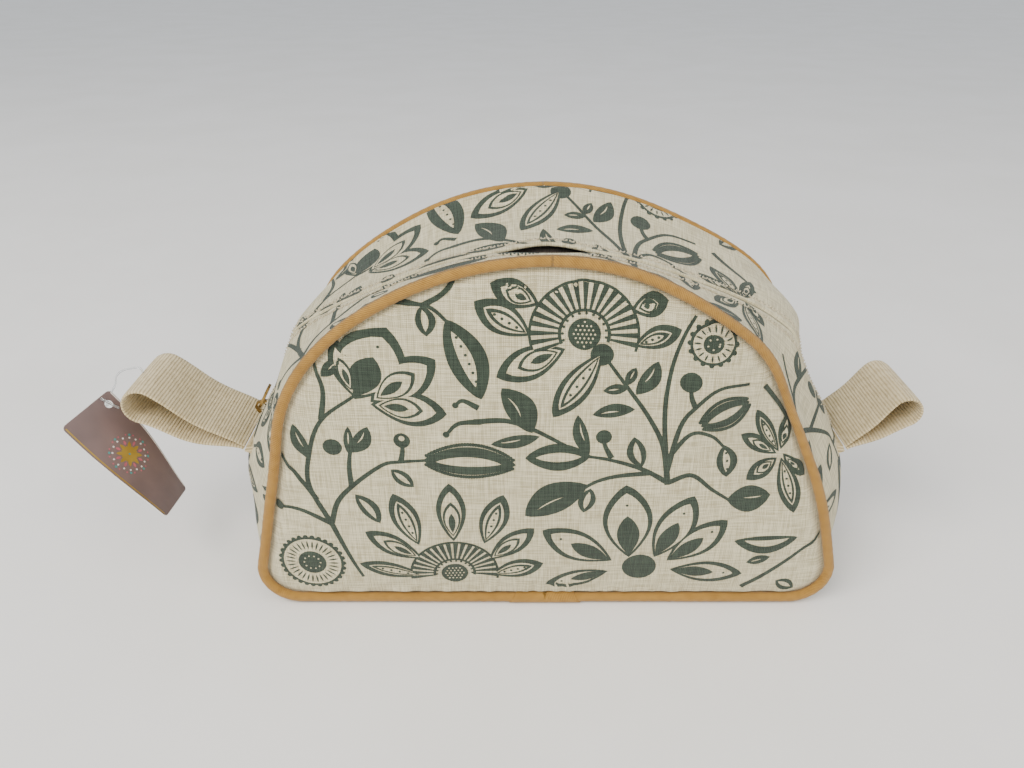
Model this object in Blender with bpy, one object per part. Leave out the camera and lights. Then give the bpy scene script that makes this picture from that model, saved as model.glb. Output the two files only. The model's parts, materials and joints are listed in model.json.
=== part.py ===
"""Dome-shaped wash bag with a concealed zip, piped panels and a webbing loop at each end of the zip.

Metres, +X to the bag's right, +Y away from its front, +Z up. The origin is the middle of the flat
base. Every surface of the bag is worked out from two outlines in the XZ plane: the piping's centre
line, an arch on a tapered body, and the middle line of the gusset, which dips below the arch on top
and bulges past it at the sides. Angles of an outline run from straight up, clockwise, so the outward
normal at angle a is (sin a, cos a). The zip lies on a true circle, so its slider turns round one axis.
"""
import math

import bmesh
import bpy
import numpy as np

# ---------------------------------------------------------------- driving dimensions
GAP = 0.0003                 # clearance between two pieces that touch on the real bag

BAG_DEPTH = 0.100            # between the centre lines of the two pipings
ARCH_TOP = 0.1650            # height of the piping's centre line in the middle
CROWN_R = 0.128              # three-centred arch: the crown's radius
CROWN_END = math.radians(35.0)
SHOULDER_R = 0.092           # and the radius of its two shoulders
SIDE_ANGLE = math.radians(76.0)      # normal of the tapered sides
FOOT_R = 0.016               # radius of the two bottom corners
PIPE_FLOOR = 0.0030          # height of the piping's centre line under the bag

PIPE_R = 0.00225             # covered piping
CORD_R = 0.00140             # its cord
PIPE_WALL = 0.00050          # its cloth cover
FLANGE = 0.0075              # seam allowance of the cover, from the cord's centre
FLANGE_SLIT = 0.0004         # between the two layers of that allowance
JOINT_LENGTH = 0.030         # wrapped joint of each piping, in the middle of the bottom
JOINT_WALL = 0.00035

PANEL_T = 0.0020             # cloth and wadding
PANEL_CROWN = 0.0060         # how far the filled bag pushes a panel out
PANEL_RISE = 0.0008          # the panel's outer face at its edge, beyond the piping's centre
CLOTH_T = 0.0018             # gusset strips
LINING_T = 0.0005
BINDING_T = 0.0004

ZIP_R = 0.1492               # top of the zip's lips
ZIP_Z = 0.0030               # height of the zip circle's centre
BULGE_R = 0.066              # side of the gusset's middle line, below the zip
BULGE_END = math.radians(112.0)

LIP_EDGE = 0.0011            # half of the slit between the closed lips
LENS_HALF = 0.0049           # how much further each lip stands back in the middle
LENS_END = math.radians(9.5)
FRONT_FROM = math.radians(-59.2)     # stretch of the zip whose front half can swing open
FRONT_TO = math.radians(57.0)
LOOP_PHI = math.radians(66.0)        # the webbing loops leave the seams here
SEAM_HALF = math.radians(0.85)       # half of the room that a loop's ends take in that seam
SLIT_END = math.radians(64.6)
TAB_DEPTH = 0.0105                   # how far a loop's sewn-in ends reach inside the bag
BASE_DEPTHS = (0.040, 0.034)         # where the lower strip's section has its points
LINING_HALF = 0.0401                 # half the width of its lining, between the seam bindings
LINING_INSET = 0.0115                # a panel's lining starts this far inside the piping
LINING_FLAT = 0.0008                 # and is this much flatter than the panel

CHAIN_R = 0.1440             # middle of the zip's teeth
TAPE_T = 0.0006
TAPE_BEAD_T = 0.0012         # corded edge that carries the teeth
TAPE_FLAT = (0.0045, 0.0062)         # the tape lies level between these, then rises
TAPE_SEWN = (0.0125, 0.0175)         # to where it is sewn under its strip
TOOTH_PITCH = 0.0036
TOOTH_W = 0.0010
TOOTH_H = 0.0022
TOOTH_ROOT = 0.0024          # the teeth reach from here
TOOTH_LAP = 0.00025          # to this far across the middle
TOOTH_VALLEY = 0.0014        # and stand back to here between them

SLIDER_PHI = math.radians(-61.5)     # parked, zip closed
SLIDER_L = 0.0110
SLIDER_HALF_W = 0.0047
SLIDER_CHANNEL = 0.0034      # half the width between its flanges at the shoulders
SLIDER_THROAT = 0.0028       # and at both ends, clear of the teeth
PLATE_FACE = 0.0015          # inner face of each plate, from the middle of the chain
PLATE_OUT = 0.0028           # outer face
FLANGE_LIP = 0.0009          # the plates' flanges stop here, clear of the tape
BRIDGE_T = 0.0014
BRIDGE_L = 0.0086
BRIDGE_H = 0.0042            # above the lips
EYE_TOP = 0.0032             # above the lips
PULL_AXIS_R = 0.1512         # distance of the pull's hinge from the zip circle's centre
PULL_LENGTH = 0.0120
PULL_WIDTH = 0.0062
PULL_T = 0.0012
PULL_BAR = 0.0011            # cross bar through the eye
PULL_RAIL = 0.0013           # on each side of the window
PULL_WINDOW = 0.0056         # far end of the window, clear of the slider's ear

STOP_L = 0.0016              # crimped stops on the tape
STOP_H = 0.0011
STOP_Y = (0.0014, 0.0034)            # a top stop's reach across one tape
STOP_HALF = 0.0026                   # half of the bottom stop, across both
TOP_STOP_PHI = math.radians(-64.5)
BOTTOM_STOP_PHI = math.radians(62.6)

WEB_WIDTH = 0.038
WEB_T = 0.0017
LOOP_ROOT_R = 0.0017         # rounded fold where a loop leaves the bag
LOOP_OPEN_FROM = 0.0055      # the two layers part this far from the fold
LEFT_LOOP = {"length": 0.055, "round": 0.0086, "tilt": math.radians(26.0)}
RIGHT_LOOP = {"length": 0.036, "round": 0.0076, "tilt": math.radians(38.0)}

TAG_LENGTH = 0.060
TAG_WIDTH = 0.030
TAG_T = 0.0005
TAG_CORNER = 0.0020
TAG_HOLE_R = 0.0019
TAG_HOLE = (-0.2011, -0.0050, 0.0787)    # where the string passes through the card
TAG_HOLE_INSET = (0.0050, 0.0050)        # from the card's top and right edges
TAG_LONG = (0.595, -0.094, -0.798)       # the card hangs by its corner: its long side's direction
TAG_SHORT = (-0.407, -0.890, -0.197)     # and its short side's, away from the hole
STRING_R = 0.00045
STRING_TURN = math.radians(35.0)     # where on the loop's round end it is shot through
BAR_R = 0.0006                       # the string's two cross bars
BAR_L = 0.009

# ---------------------------------------------------------------- derived places
HALF_DEPTH = BAG_DEPTH / 2
BESIDE_PIPING = PIPE_R + JOINT_WALL + 2 * GAP    # clear of the piping and of its wrapped joint
EDGE_Y = HALF_DEPTH - BESIDE_PIPING          # cut edge of the gusset beside the piping
EDGE_OUT = 0.0007                            # the gusset starts this far outside the centre line
LOOP_AXIS_R = ZIP_R + LOOP_ROOT_R + 0.0004


# ---------------------------------------------------------------- scene helpers
def clear_scene():
    """Removes every object, so that the script can be run again."""
    for thing in list(bpy.data.objects):
        bpy.data.objects.remove(thing, do_unlink=True)


def finish(name, colour, roughness, metallic=0.0):
    """One Principled material."""
    material = bpy.data.materials.new(name)
    material.use_nodes = True
    shader = material.node_tree.nodes["Principled BSDF"]
    shader.inputs["Base Color"].default_value = (*colour, 1.0)
    shader.inputs["Roughness"].default_value = roughness
    shader.inputs["Metallic"].default_value = metallic
    material.diffuse_color = (*colour, 1.0)
    return material


def axis_empty(name, location, turn=0.0, parent=None):
    """An empty on a joint's axis; turn is its rest angle about +Y."""
    empty = bpy.data.objects.new(name, None)
    empty.empty_display_size = 0.01
    empty.location = location
    empty.rotation_euler = (0.0, turn, 0.0)
    empty.parent = parent
    bpy.context.scene.collection.objects.link(empty)
    return empty


def solid(name, points, faces, material, axis=None, in_axis_frame=False):
    """A closed mesh object. Its points are world ones, or the axis empty's own with in_axis_frame."""
    mesh = bpy.data.meshes.new(name)
    points = np.asarray(points, dtype=float)
    if axis is not None and not in_axis_frame:
        points = points - np.array(axis.location)
    mesh.from_pydata(points.tolist(), [], [list(face) for face in faces])
    work = bmesh.new()
    work.from_mesh(mesh)
    bmesh.ops.recalc_face_normals(work, faces=work.faces)
    work.to_mesh(mesh)
    work.free()
    mesh.shade_smooth()
    mesh.set_sharp_from_angle(angle=math.radians(35))
    mesh.materials.append(material)
    thing = bpy.data.objects.new(name, mesh)
    thing.parent = axis
    bpy.context.scene.collection.objects.link(thing)
    return thing


def slab(outer, inner, keep=None):
    """Points and faces of the wall between two grids of points; keep marks the cells that exist."""
    rows, columns = outer.shape[:2]
    if keep is None:
        keep = np.ones((rows - 1, columns - 1), dtype=bool)
    below = rows * columns

    def place(i, j):
        return i * columns + j

    faces = []
    for i, j in zip(*np.nonzero(keep)):
        ring = [place(i, j), place(i + 1, j), place(i + 1, j + 1), place(i, j + 1)]
        faces.append(ring)
        faces.append([below + k for k in reversed(ring)])
        beyond = [(i, j - 1), (i + 1, j), (i, j + 1), (i - 1, j)]
        for side, (a, b) in enumerate(beyond):
            inside = 0 <= a < rows - 1 and 0 <= b < columns - 1
            if not (inside and keep[a, b]):
                p, q = ring[side], ring[(side + 1) % 4]
                faces.append([p, below + p, below + q, q])
    points = np.concatenate([outer.reshape(-1, 3), inner.reshape(-1, 3)])
    used = sorted({k for face in faces for k in face})
    index = {k: n for n, k in enumerate(used)}
    return points[used], [[index[k] for k in face] for face in faces]


def sweep(sections, ring=False):
    """Points and faces of a bar through sections of (stations, corners, 3); ring joins its ends."""
    stations, corners = sections.shape[:2]
    faces = []
    for i in range(stations if ring else stations - 1):
        for j in range(corners):
            a, b = i * corners + j, i * corners + (j + 1) % corners
            c, d = (i + 1) % stations * corners + (j + 1) % corners, (i + 1) % stations * corners + j
            faces.append([a, b, c, d])
    if not ring:
        faces.append(list(range(corners)))
        faces.append([(stations - 1) * corners + j for j in reversed(range(corners))])
    return sections.reshape(-1, 3), faces


def washer(outer, inner, depth):
    """A plate between two closed outlines with as many points each; outlines are (n, 3)."""
    count = len(outer)
    shift = np.asarray(depth, dtype=float)
    points = np.concatenate([outer, inner, outer + shift, inner + shift])
    faces = []
    for j in range(count):
        k = (j + 1) % count
        faces.append([j, k, count + k, count + j])
        faces.append([2 * count + j, 3 * count + j, 3 * count + k, 2 * count + k])
        faces.append([j, 2 * count + j, 2 * count + k, k])
        faces.append([count + j, count + k, 3 * count + k, 3 * count + j])
    return points, faces


def prism(outline, depth):
    """A plate with one closed outline of (n, 3)."""
    return sweep(np.stack([outline, outline + np.asarray(depth, dtype=float)]))


# ---------------------------------------------------------------- the two outlines
def arc(centre, radius, start, end, count):
    """Points (x, z, normal angle) on an arc."""
    angle = np.linspace(start, end, count)
    return np.stack([centre[0] + radius * np.sin(angle), centre[1] + radius * np.cos(angle), angle], 1)


def line(start, end, angle, count):
    """Points on a straight stretch with one normal."""
    t = np.linspace(0.0, 1.0, count)[:, None]
    flat = (1 - t) * np.array([start]) + t * np.array([end])
    return np.column_stack([flat, np.full(count, angle)])


def piping_half(crown, shoulder, side, foot, base):
    """Right half of the piping's centre line, from the top to the middle of the bottom, in stretches."""
    crown_centre = np.array([0.0, ARCH_TOP - CROWN_R])
    turn = np.array([math.sin(CROWN_END), math.cos(CROWN_END)])
    shoulder_centre = crown_centre + (CROWN_R - SHOULDER_R) * turn
    normal = np.array([math.sin(SIDE_ANGLE), math.cos(SIDE_ANGLE)])
    along = np.array([math.cos(SIDE_ANGLE), -math.sin(SIDE_ANGLE)])
    side_top = shoulder_centre + SHOULDER_R * normal
    drop = side_top[1] - (PIPE_FLOOR + FOOT_R + FOOT_R * normal[1])
    side_foot = side_top + along * drop / math.sin(SIDE_ANGLE)
    foot_centre = side_foot - FOOT_R * normal
    return [arc(crown_centre, CROWN_R, 0.0, CROWN_END, crown),
            arc(shoulder_centre, SHOULDER_R, CROWN_END, SIDE_ANGLE, shoulder),
            line(side_top, side_foot, SIDE_ANGLE, side),
            arc(foot_centre, FOOT_R, SIDE_ANGLE, math.pi, foot),
            line((foot_centre[0], PIPE_FLOOR), (0.0, PIPE_FLOOR), math.pi, base)]


def full_ring(crown=7, shoulder=6, side=3, foot=5, base=2):
    """The whole closed centre line, clockwise from the top, one row for each station."""
    parts = piping_half(crown, shoulder, side, foot, base)
    half = np.concatenate([parts[0]] + [part[1:] for part in parts[1:]])
    mirror = half[-2:0:-1] * np.array([-1.0, 1.0, -1.0])
    return np.concatenate([half, mirror])


DENSE = np.concatenate(piping_half(60, 60, 60, 2, 2)[:3])    # from the top down to the foot
DENSE_PHI = np.arctan2(DENSE[:, 0], DENSE[:, 1] - ZIP_Z)
DENSE_R = np.hypot(DENSE[:, 0], DENSE[:, 1] - ZIP_Z)


def piping_radius(phi):
    """Distance from the zip circle's centre to the piping's centre line, in direction phi."""
    return np.interp(np.abs(phi), DENSE_PHI, DENSE_R)


def piping_point(phi):
    """That point of the centre line on the bag's right, with its normal's angle."""
    radius = float(piping_radius(phi))
    angle = float(np.interp(abs(phi), DENSE_PHI, DENSE[:, 2]))
    return radius * math.sin(phi), ZIP_Z + radius * math.cos(phi), angle


def polar(phi, radius, y):
    """World points in direction phi round the zip circle's axis."""
    phi, radius, y = np.broadcast_arrays(phi, radius, y)
    return np.stack([radius * np.sin(phi), y, ZIP_Z + radius * np.cos(phi)], axis=-1)


def swell(depth_share):
    """0 at the piping, 1 in the middle of the gusset, level there: a parabola."""
    return 1.0 - (1.0 - np.clip(depth_share, 0.0, 1.0)) ** 2


def top_radius(phi, y):
    """Radius of the gusset's outer surface beside the zip."""
    edge = piping_radius(phi) + EDGE_OUT
    share = swell((EDGE_Y - np.abs(y)) / EDGE_Y)
    return edge + (ZIP_R - edge) * share


# ---------------------------------------------------------------- gusset
def lip_edge(phi):
    """How far a lip's edge stands from the middle: closed, but for a lens on top."""
    part = np.clip(np.abs(phi) / LENS_END, 0.0, 1.0)
    return LIP_EDGE + LENS_HALF * np.cos(part * math.pi / 2) ** 2


def zip_strip(side):
    """The gusset strip on one side of the zip, from the piping to its lip; side is -1 in front."""
    start, end = FRONT_FROM, FRONT_TO
    lens = LENS_END * np.array([-1.0, -0.6, -0.3, 0.0, 0.3, 0.6, 1.0])
    left, right = np.linspace(start, -LENS_END, 12), np.linspace(LENS_END, end, 12)
    phi = np.concatenate([left[:-1], lens, right[1:]])
    across = np.linspace(0.0, 1.0, 7)
    y = EDGE_Y + (lip_edge(phi)[:, None] - EDGE_Y) * across[None, :]
    phi = phi[:, None] + 0.0 * y
    radius = top_radius(phi, y)
    return slab(polar(phi, radius, side * y), polar(phi, radius - CLOTH_T, side * y))


def zip_end(side):
    """Fixed end of both strips, with the end of the slit; side is -1 on the left."""
    start = -FRONT_FROM if side < 0 else FRONT_TO
    start += GAP / ZIP_R
    stop = LOOP_PHI - SEAM_HALF
    phi = np.array([start, (start + SLIT_END) / 2, SLIT_END, stop]) * side
    half = np.linspace(LIP_EDGE, EDGE_Y, 6)
    y = np.concatenate([-half[::-1], half])
    phi, y = np.meshgrid(phi, y, indexing="ij")
    radius = top_radius(phi, y)
    keep = np.ones((3, 11), dtype=bool)
    keep[:2, 5] = False
    return slab(polar(phi, radius, y), polar(phi, radius - CLOTH_T, y), keep)


def base_half(side_count, foot_count, base_count):
    """Matched stations of the piping line and the gusset's middle line, from the seam to the bottom."""
    seam = LOOP_PHI + SEAM_HALF
    start = piping_point(seam)
    stretches = piping_half(2, 2, 2, foot_count, base_count)
    side_foot = stretches[2][-1]
    edge = np.concatenate([line(start[:2], side_foot[:2], SIDE_ANGLE, side_count),
                           stretches[3][1:], stretches[4][1:]])
    normal = np.array([math.sin(seam), math.cos(seam)])
    bulge_centre = np.array([0.0, ZIP_Z]) + (ZIP_R - BULGE_R) * normal
    bulge = arc(bulge_centre, BULGE_R, seam, BULGE_END, side_count)
    foot_r = bulge[-1, 1] / (1.0 + math.cos(BULGE_END))
    foot_centre = bulge[-1, :2] - foot_r * np.array([math.sin(BULGE_END), math.cos(BULGE_END)])
    foot = arc(foot_centre, foot_r, BULGE_END, math.pi, foot_count)
    base = line((foot_centre[0], 0.0), (0.0, 0.0), math.pi, base_count)
    middle = np.concatenate([bulge, foot[1:], base[1:]])
    top_phi = LOOP_PHI - SEAM_HALF + GAP / ZIP_R
    first_edge = np.array([piping_point(top_phi)])
    first_middle = np.array([[ZIP_R * math.sin(top_phi), ZIP_Z + ZIP_R * math.cos(top_phi), top_phi]])
    return np.concatenate([first_edge, edge]), np.concatenate([first_middle, middle])


def base_strip(lift, thickness, half_width, skip=0):
    """The U-shaped strip under and beside the bag, lift inside the outer surface.

    Its depth profile swells like a parabola at the sides and is level across the base."""
    side_count, foot_count, base_count = 7, 6, 3
    edge, middle = base_half(side_count, foot_count, base_count)
    edge, middle = edge[skip:], middle[skip:]
    tail = foot_count + base_count - 2
    level = np.concatenate([np.ones(len(edge) - tail), np.linspace(1.0, 0.3, foot_count - 1),
                            np.full(base_count - 1, 0.3)])[:len(edge)]
    mirror = np.array([-1.0, 1.0, -1.0])
    edge = np.concatenate([edge, edge[-2::-1] * mirror])
    middle = np.concatenate([middle, middle[-2::-1] * mirror])
    level = np.concatenate([level, level[-2::-1]])
    y = np.array([-half_width, -BASE_DEPTHS[0], -BASE_DEPTHS[1], -WEB_WIDTH / 2 - GAP])
    y = y[y >= -half_width]
    y = np.concatenate([y, -y[::-1]])
    share = swell((EDGE_Y - np.abs(y))[None, :] / EDGE_Y / level[:, None])[:, :, None]
    edge_normal = np.stack([np.sin(edge[:, 2]), np.cos(edge[:, 2])], 1)[:, None, :]
    middle_normal = np.stack([np.sin(middle[:, 2]), np.cos(middle[:, 2])], 1)[:, None, :]
    edge_point = edge[:, None, :2] + EDGE_OUT * edge_normal
    flat = edge_point + (middle[:, None, :2] - edge_point) * share
    normal = edge_normal + (middle_normal - edge_normal) * share
    normal = normal / np.linalg.norm(normal, axis=-1, keepdims=True)

    def layer(depth):
        points = flat - depth * normal
        return np.stack([points[..., 0], np.broadcast_to(y, points.shape[:2]), points[..., 1]], axis=-1)

    keep = np.ones((len(edge) - 1, len(y) - 1), dtype=bool)
    if skip == 0:
        keep[0, len(y) // 2 - 1] = False         # the loops' ends pass through the seam here
        keep[-1, len(y) // 2 - 1] = False
    return slab(layer(lift), layer(lift + thickness), keep)


def loop_tab(side):
    """The two sewn-in ends of a webbing loop, flush with the gusset."""
    half = SEAM_HALF - GAP / ZIP_R
    phi = side * (LOOP_PHI + np.array([-half, half, half, -half]))
    radius = np.array([ZIP_R, ZIP_R, ZIP_R - TAB_DEPTH, ZIP_R - TAB_DEPTH])
    outline = polar(phi, radius, -WEB_WIDTH / 2)
    return prism(outline, (0.0, WEB_WIDTH, 0.0))


# ---------------------------------------------------------------- panels and linings
def dome(inset, face_y, thickness, crown, side, fine=1):
    """A crowned panel inside the piping line; its outer face is at face_y plus the crown."""
    ring = full_ring(6, 6, 4, 4, 3)[::fine]
    normal = np.stack([np.sin(ring[:, 2]), np.cos(ring[:, 2])], 1)
    rim = ring[:, :2] - inset * normal
    centre = np.array([0.0, 0.078])
    scales = [1.0, 0.86, 0.66, 0.40]
    layers = []
    for depth in (0.0, thickness):
        for scale in scales:
            flat = centre + scale * (rim - centre)
            y = side * (face_y + crown * (1.0 - scale ** 2) - depth)
            layers.append(np.column_stack([flat[:, 0], np.full(len(flat), y), flat[:, 1]]))
    count, rows = len(rim), len(scales)
    points = np.concatenate(layers + [[[0.0, side * (face_y + crown), centre[1]],
                                       [0.0, side * (face_y + crown - thickness), centre[1]]]])
    faces = []
    for j in range(count):
        k = (j + 1) % count
        for side_first in (0, rows * count):
            for row in range(rows - 1):
                a = side_first + row * count
                faces.append([a + j, a + k, a + count + k, a + count + j])
            last = side_first + (rows - 1) * count
            tip = 2 * rows * count + (0 if side_first == 0 else 1)
            faces.append([last + j, last + k, tip])
        faces.append([j, k, rows * count + k, rows * count + j])
    return points, faces


# ---------------------------------------------------------------- piping
def ring_bar(profile, side, ring=None):
    """Carries a profile of (outward, towards the middle of the bag) round the piping's centre line."""
    stations = full_ring() if ring is None else ring
    normal = np.stack([np.sin(stations[:, 2]), np.cos(stations[:, 2])], 1)
    flat = stations[:, None, :2] + profile[None, :, :1] * normal[:, None, :]
    y = np.broadcast_to(side * (HALF_DEPTH - profile[:, 1]), flat.shape[:2])
    return sweep(np.stack([flat[..., 0], y, flat[..., 1]], axis=-1), ring=ring is None)


def round_points(radius, start, end, count):
    """Points on a circle round the cord; 0 points outward, positive angles turn to the bag's middle."""
    angle = np.linspace(start, end, count)
    return np.stack([radius * np.cos(angle), radius * np.sin(angle)], 1)


INWARD = math.radians(135.0)          # the seam allowance points here, between panel and gusset


def leg(distance, offset):
    """A point of the seam allowance: distance from the cord's centre, offset to one side."""
    along = np.array([math.cos(INWARD), math.sin(INWARD)])
    across = np.array([-along[1], along[0]])
    return (distance * along + offset * across)[None, :]


def piping_cover(side):
    """Bias cloth round the cord, its two edges laid together as a seam allowance."""
    inner = PIPE_R - PIPE_WALL
    half = FLANGE_SLIT / 2
    outer_half = half + PIPE_WALL
    outer_turn = math.asin(outer_half / PIPE_R)
    inner_turn = math.asin(half / inner)
    whole = 2 * math.pi
    profile = np.concatenate([
        leg(FLANGE, outer_half),
        round_points(PIPE_R, INWARD + outer_turn, INWARD + whole - outer_turn, 9),
        leg(FLANGE, -outer_half), leg(FLANGE, -half),
        round_points(inner, INWARD + whole - inner_turn, INWARD + inner_turn, 6),
        leg(FLANGE, half)])
    return ring_bar(profile, side)


def piping_cord(side):
    """The cord itself, a closed ring with its ends butted under the wrapped joint."""
    sides = 6
    return ring_bar(round_points(CORD_R, 0.0, 2 * math.pi * (sides - 1) / sides, sides), side)


def piping_joint(side):
    """A turn of the same cloth that hides where the piping's ends meet."""
    inner = PIPE_R + GAP
    open_half = math.radians(50.0)
    start, end = INWARD + open_half, INWARD + 2 * math.pi - open_half
    profile = np.concatenate([round_points(inner + JOINT_WALL, start, end, 9),
                              round_points(inner, end, start, 9)])
    half = JOINT_LENGTH / 2
    ring = line((half, PIPE_FLOOR), (-half, PIPE_FLOOR), math.pi, 2)
    return ring_bar(profile, side, ring)


def seam_binding(side):
    """Tape folded over the raw edges of the seam inside the bag."""
    outer_half = FLANGE_SLIT / 2 + PIPE_WALL
    inner = outer_half + GAP
    outer = inner + BINDING_T
    start, tip = FLANGE - 0.0028, FLANGE + GAP
    profile = np.concatenate([leg(start, outer), leg(tip + BINDING_T, outer), leg(tip + BINDING_T, -outer),
                              leg(start, -outer), leg(start, -inner), leg(tip, -inner),
                              leg(tip, inner), leg(start, inner)])
    return ring_bar(profile, side)


# ---------------------------------------------------------------- zip
def tape_profile(phi):
    """Cross-section of one tape at phi: corded edge, flat run, then up to the strip's underside."""
    y = np.array([TOOTH_ROOT + GAP, *TAPE_FLAT, *TAPE_SEWN])
    under = top_radius(phi, y[3:]) - CLOTH_T - 2 * GAP - TAPE_T / 2
    middle = np.concatenate([[CHAIN_R, CHAIN_R, CHAIN_R], under])
    half = np.array([TAPE_BEAD_T, TAPE_T, TAPE_T, TAPE_T, TAPE_T]) / 2
    return np.concatenate([np.stack([y, middle + half], 1), np.stack([y, middle - half], 1)[::-1]])


def zip_tape(side):
    """One zip tape, sewn under its gusset strip."""
    stations = np.linspace(FRONT_FROM, FRONT_TO, 22)
    sections = []
    for phi in stations:
        profile = tape_profile(phi)
        sections.append(polar(phi, profile[:, 1], side * profile[:, 0]))
    return sweep(np.array(sections))


def zip_teeth(side):
    """A row of moulded teeth on the tape's corded edge, with a V between each two.

    The rows stand half a pitch apart, so that each tooth's head lies between two of the other row."""
    step = TOOTH_PITCH / CHAIN_R
    count = int((FRONT_TO - FRONT_FROM) / step)
    first = (FRONT_FROM + FRONT_TO) / 2 - step * (count - 1) / 2 + side * step / 4
    half = TOOTH_W / 2 / CHAIN_R
    sections = []
    for number in range(count):
        phi = first + number * step
        for turn, tip in ((-half, -TOOTH_LAP), (half, -TOOTH_LAP), (step / 2, TOOTH_VALLEY)):
            y = side * np.array([TOOTH_ROOT, TOOTH_ROOT, tip, tip])
            radius = CHAIN_R + TOOTH_H / 2 * np.array([-1.0, 1.0, 1.0, -1.0])
            sections.append(polar(phi + turn, radius, y))
    return sweep(np.array(sections[:-1]))


def end_tape(side):
    """The last stretch of both tapes, sewn together into the end seam; side is -1 on the left."""
    start = (-FRONT_FROM if side < 0 else FRONT_TO) + GAP / CHAIN_R
    stop = LOOP_PHI - SEAM_HALF - GAP / CHAIN_R
    phi = side * np.linspace(start, stop, 4)
    level, sewn = TAPE_FLAT[1], TAPE_SEWN[1]
    phi, y = np.meshgrid(phi, np.array([-sewn, -level, level, sewn]), indexing="ij")
    under = top_radius(phi, y) - CLOTH_T - 2 * GAP
    outer = np.where(np.abs(y) > level, under, CHAIN_R + TAPE_T / 2)
    return slab(polar(phi, outer, y), polar(phi, outer - TAPE_T, y))


def stop_block(phi, y_low, y_high):
    """A crimped stop on top of the tape."""
    half = STOP_L / 2 / CHAIN_R
    turn = phi + half * np.array([-1.0, 1.0, 1.0, -1.0])
    y = np.array([y_low, y_low, y_high, y_high])
    low = CHAIN_R + TAPE_T / 2 + GAP
    return sweep(np.stack([polar(turn, low, y), polar(turn, low + STOP_H, y)]))


def slider_plate(way):
    """One plate of the slider in its own frame, way is 1 for the upper one and -1 for the keeper.

    Seen from above it is a shield: rounded mouth, wide shoulders, narrow tail. A flange stands along
    each side, and the channel between the flanges narrows towards both ends."""
    half = SLIDER_L / 2
    stations = ((-half, 0.78, 0.0), (-0.85 * half, 0.93, 0.7), (-0.62 * half, 1.0, 1.0),
                (0.05 * half, 1.0, 1.0), (0.60 * half, 0.88, 0.35), (half, 0.76, 0.0))
    face, lip, out = (CHAIN_R + way * reach for reach in (PLATE_FACE, FLANGE_LIP, PLATE_OUT))
    sections = []
    for x, share, opening in stations:
        width = share * SLIDER_HALF_W
        inside = SLIDER_THROAT + opening * (SLIDER_CHANNEL - SLIDER_THROAT)
        outline = [(-width, lip), (-inside, lip), (-inside, face), (inside, face),
                   (inside, lip), (width, lip), (width, out), (-width, out)]
        sections.append([(x, y, z) for y, z in outline])
    return sweep(np.array(sections))


def slider_bridge():
    """The slider's crown: a thin ear through the slit, with an eye for the pull; (n, 3) outlines."""
    foot = CHAIN_R + PLATE_OUT + GAP
    half, peak = BRIDGE_L / 2, ZIP_R + BRIDGE_H
    waist = ZIP_R + BRIDGE_H / 2
    base = [(-half, foot), (-half, ZIP_R), (-half + 0.0008, waist), (-half + 0.0026, peak),
            (half - 0.0030, peak), (half - 0.0008, waist), (half, ZIP_R), (half, foot)]
    eye_half, eye_foot, eye_peak = 0.0020, ZIP_R + 0.0004, ZIP_R + EYE_TOP
    eye = [(-eye_half, eye_foot), (-1.1 * eye_half, eye_foot + 0.0006), (-eye_half, eye_foot + 0.0020),
           (-0.6 * eye_half, eye_peak), (0.4 * eye_half, eye_peak), (0.9 * eye_half, eye_foot + 0.0019),
           (eye_half, eye_foot + 0.0006), (0.9 * eye_half, eye_foot)]
    outer = np.array([(x, -BRIDGE_T / 2, z) for x, z in base])
    inner = np.array([(x, -BRIDGE_T / 2, z) for x, z in eye])
    return washer(outer, inner, (0.0, BRIDGE_T, 0.0))


def superellipse(low, high, half_width, count=12, power=0.5):
    """A rounded rectangle (x, y) from low to high along x; power 1 would make it an ellipse."""
    angle = 2 * math.pi * (np.arange(count) + 0.5) / count
    sine, cosine = np.sin(angle), np.cos(angle)
    x = (low + high) / 2 + (high - low) / 2 * np.sign(cosine) * np.abs(cosine) ** power
    return np.stack([x, half_width * np.sign(sine) * np.abs(sine) ** power], 1)


def pull_tab():
    """Flat pull in its hinge's frame: a rounded plate whose window leaves a cross bar in the eye."""
    rings = []
    for flat in (superellipse(-PULL_BAR / 2, PULL_LENGTH, PULL_WIDTH / 2),
                 superellipse(PULL_BAR / 2, PULL_WINDOW, PULL_WIDTH / 2 - PULL_RAIL)):
        rings.append(np.column_stack([flat, np.full(len(flat), -PULL_T / 2)]))
    return washer(rings[0], rings[1], (0.0, 0.0, PULL_T))


# ---------------------------------------------------------------- webbing loops and tag
def loop_axis(side):
    """Place of a loop's hinge axis."""
    return (side * LOOP_AXIS_R * math.sin(LOOP_PHI), 0.0, ZIP_Z + LOOP_AXIS_R * math.cos(LOOP_PHI))


def loop_outlines(shape):
    """Outer and inner outline of a folded strip, (along, up), from its root round its far end."""
    far = shape["length"] - shape["round"]
    spread = math.asin((shape["round"] - LOOP_ROOT_R) / far)
    back = np.linspace(math.pi / 2 + spread, 1.5 * math.pi - spread, 5)
    front = np.linspace(-math.pi / 2 - spread, math.pi / 2 + spread, 11)
    outer = np.concatenate([
        np.stack([LOOP_ROOT_R * np.cos(back), LOOP_ROOT_R * np.sin(back)], 1),
        np.stack([far + shape["round"] * np.cos(front), shape["round"] * np.sin(front)], 1)])
    inside = shape["round"] - WEB_T
    half = LOOP_OPEN_FROM * math.tan(spread)
    inner = np.concatenate([
        np.stack([np.full(5, LOOP_OPEN_FROM), np.linspace(half, -half, 5)], 1),
        np.stack([far + inside * np.cos(front), inside * np.sin(front)], 1)])
    return outer, inner


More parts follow.
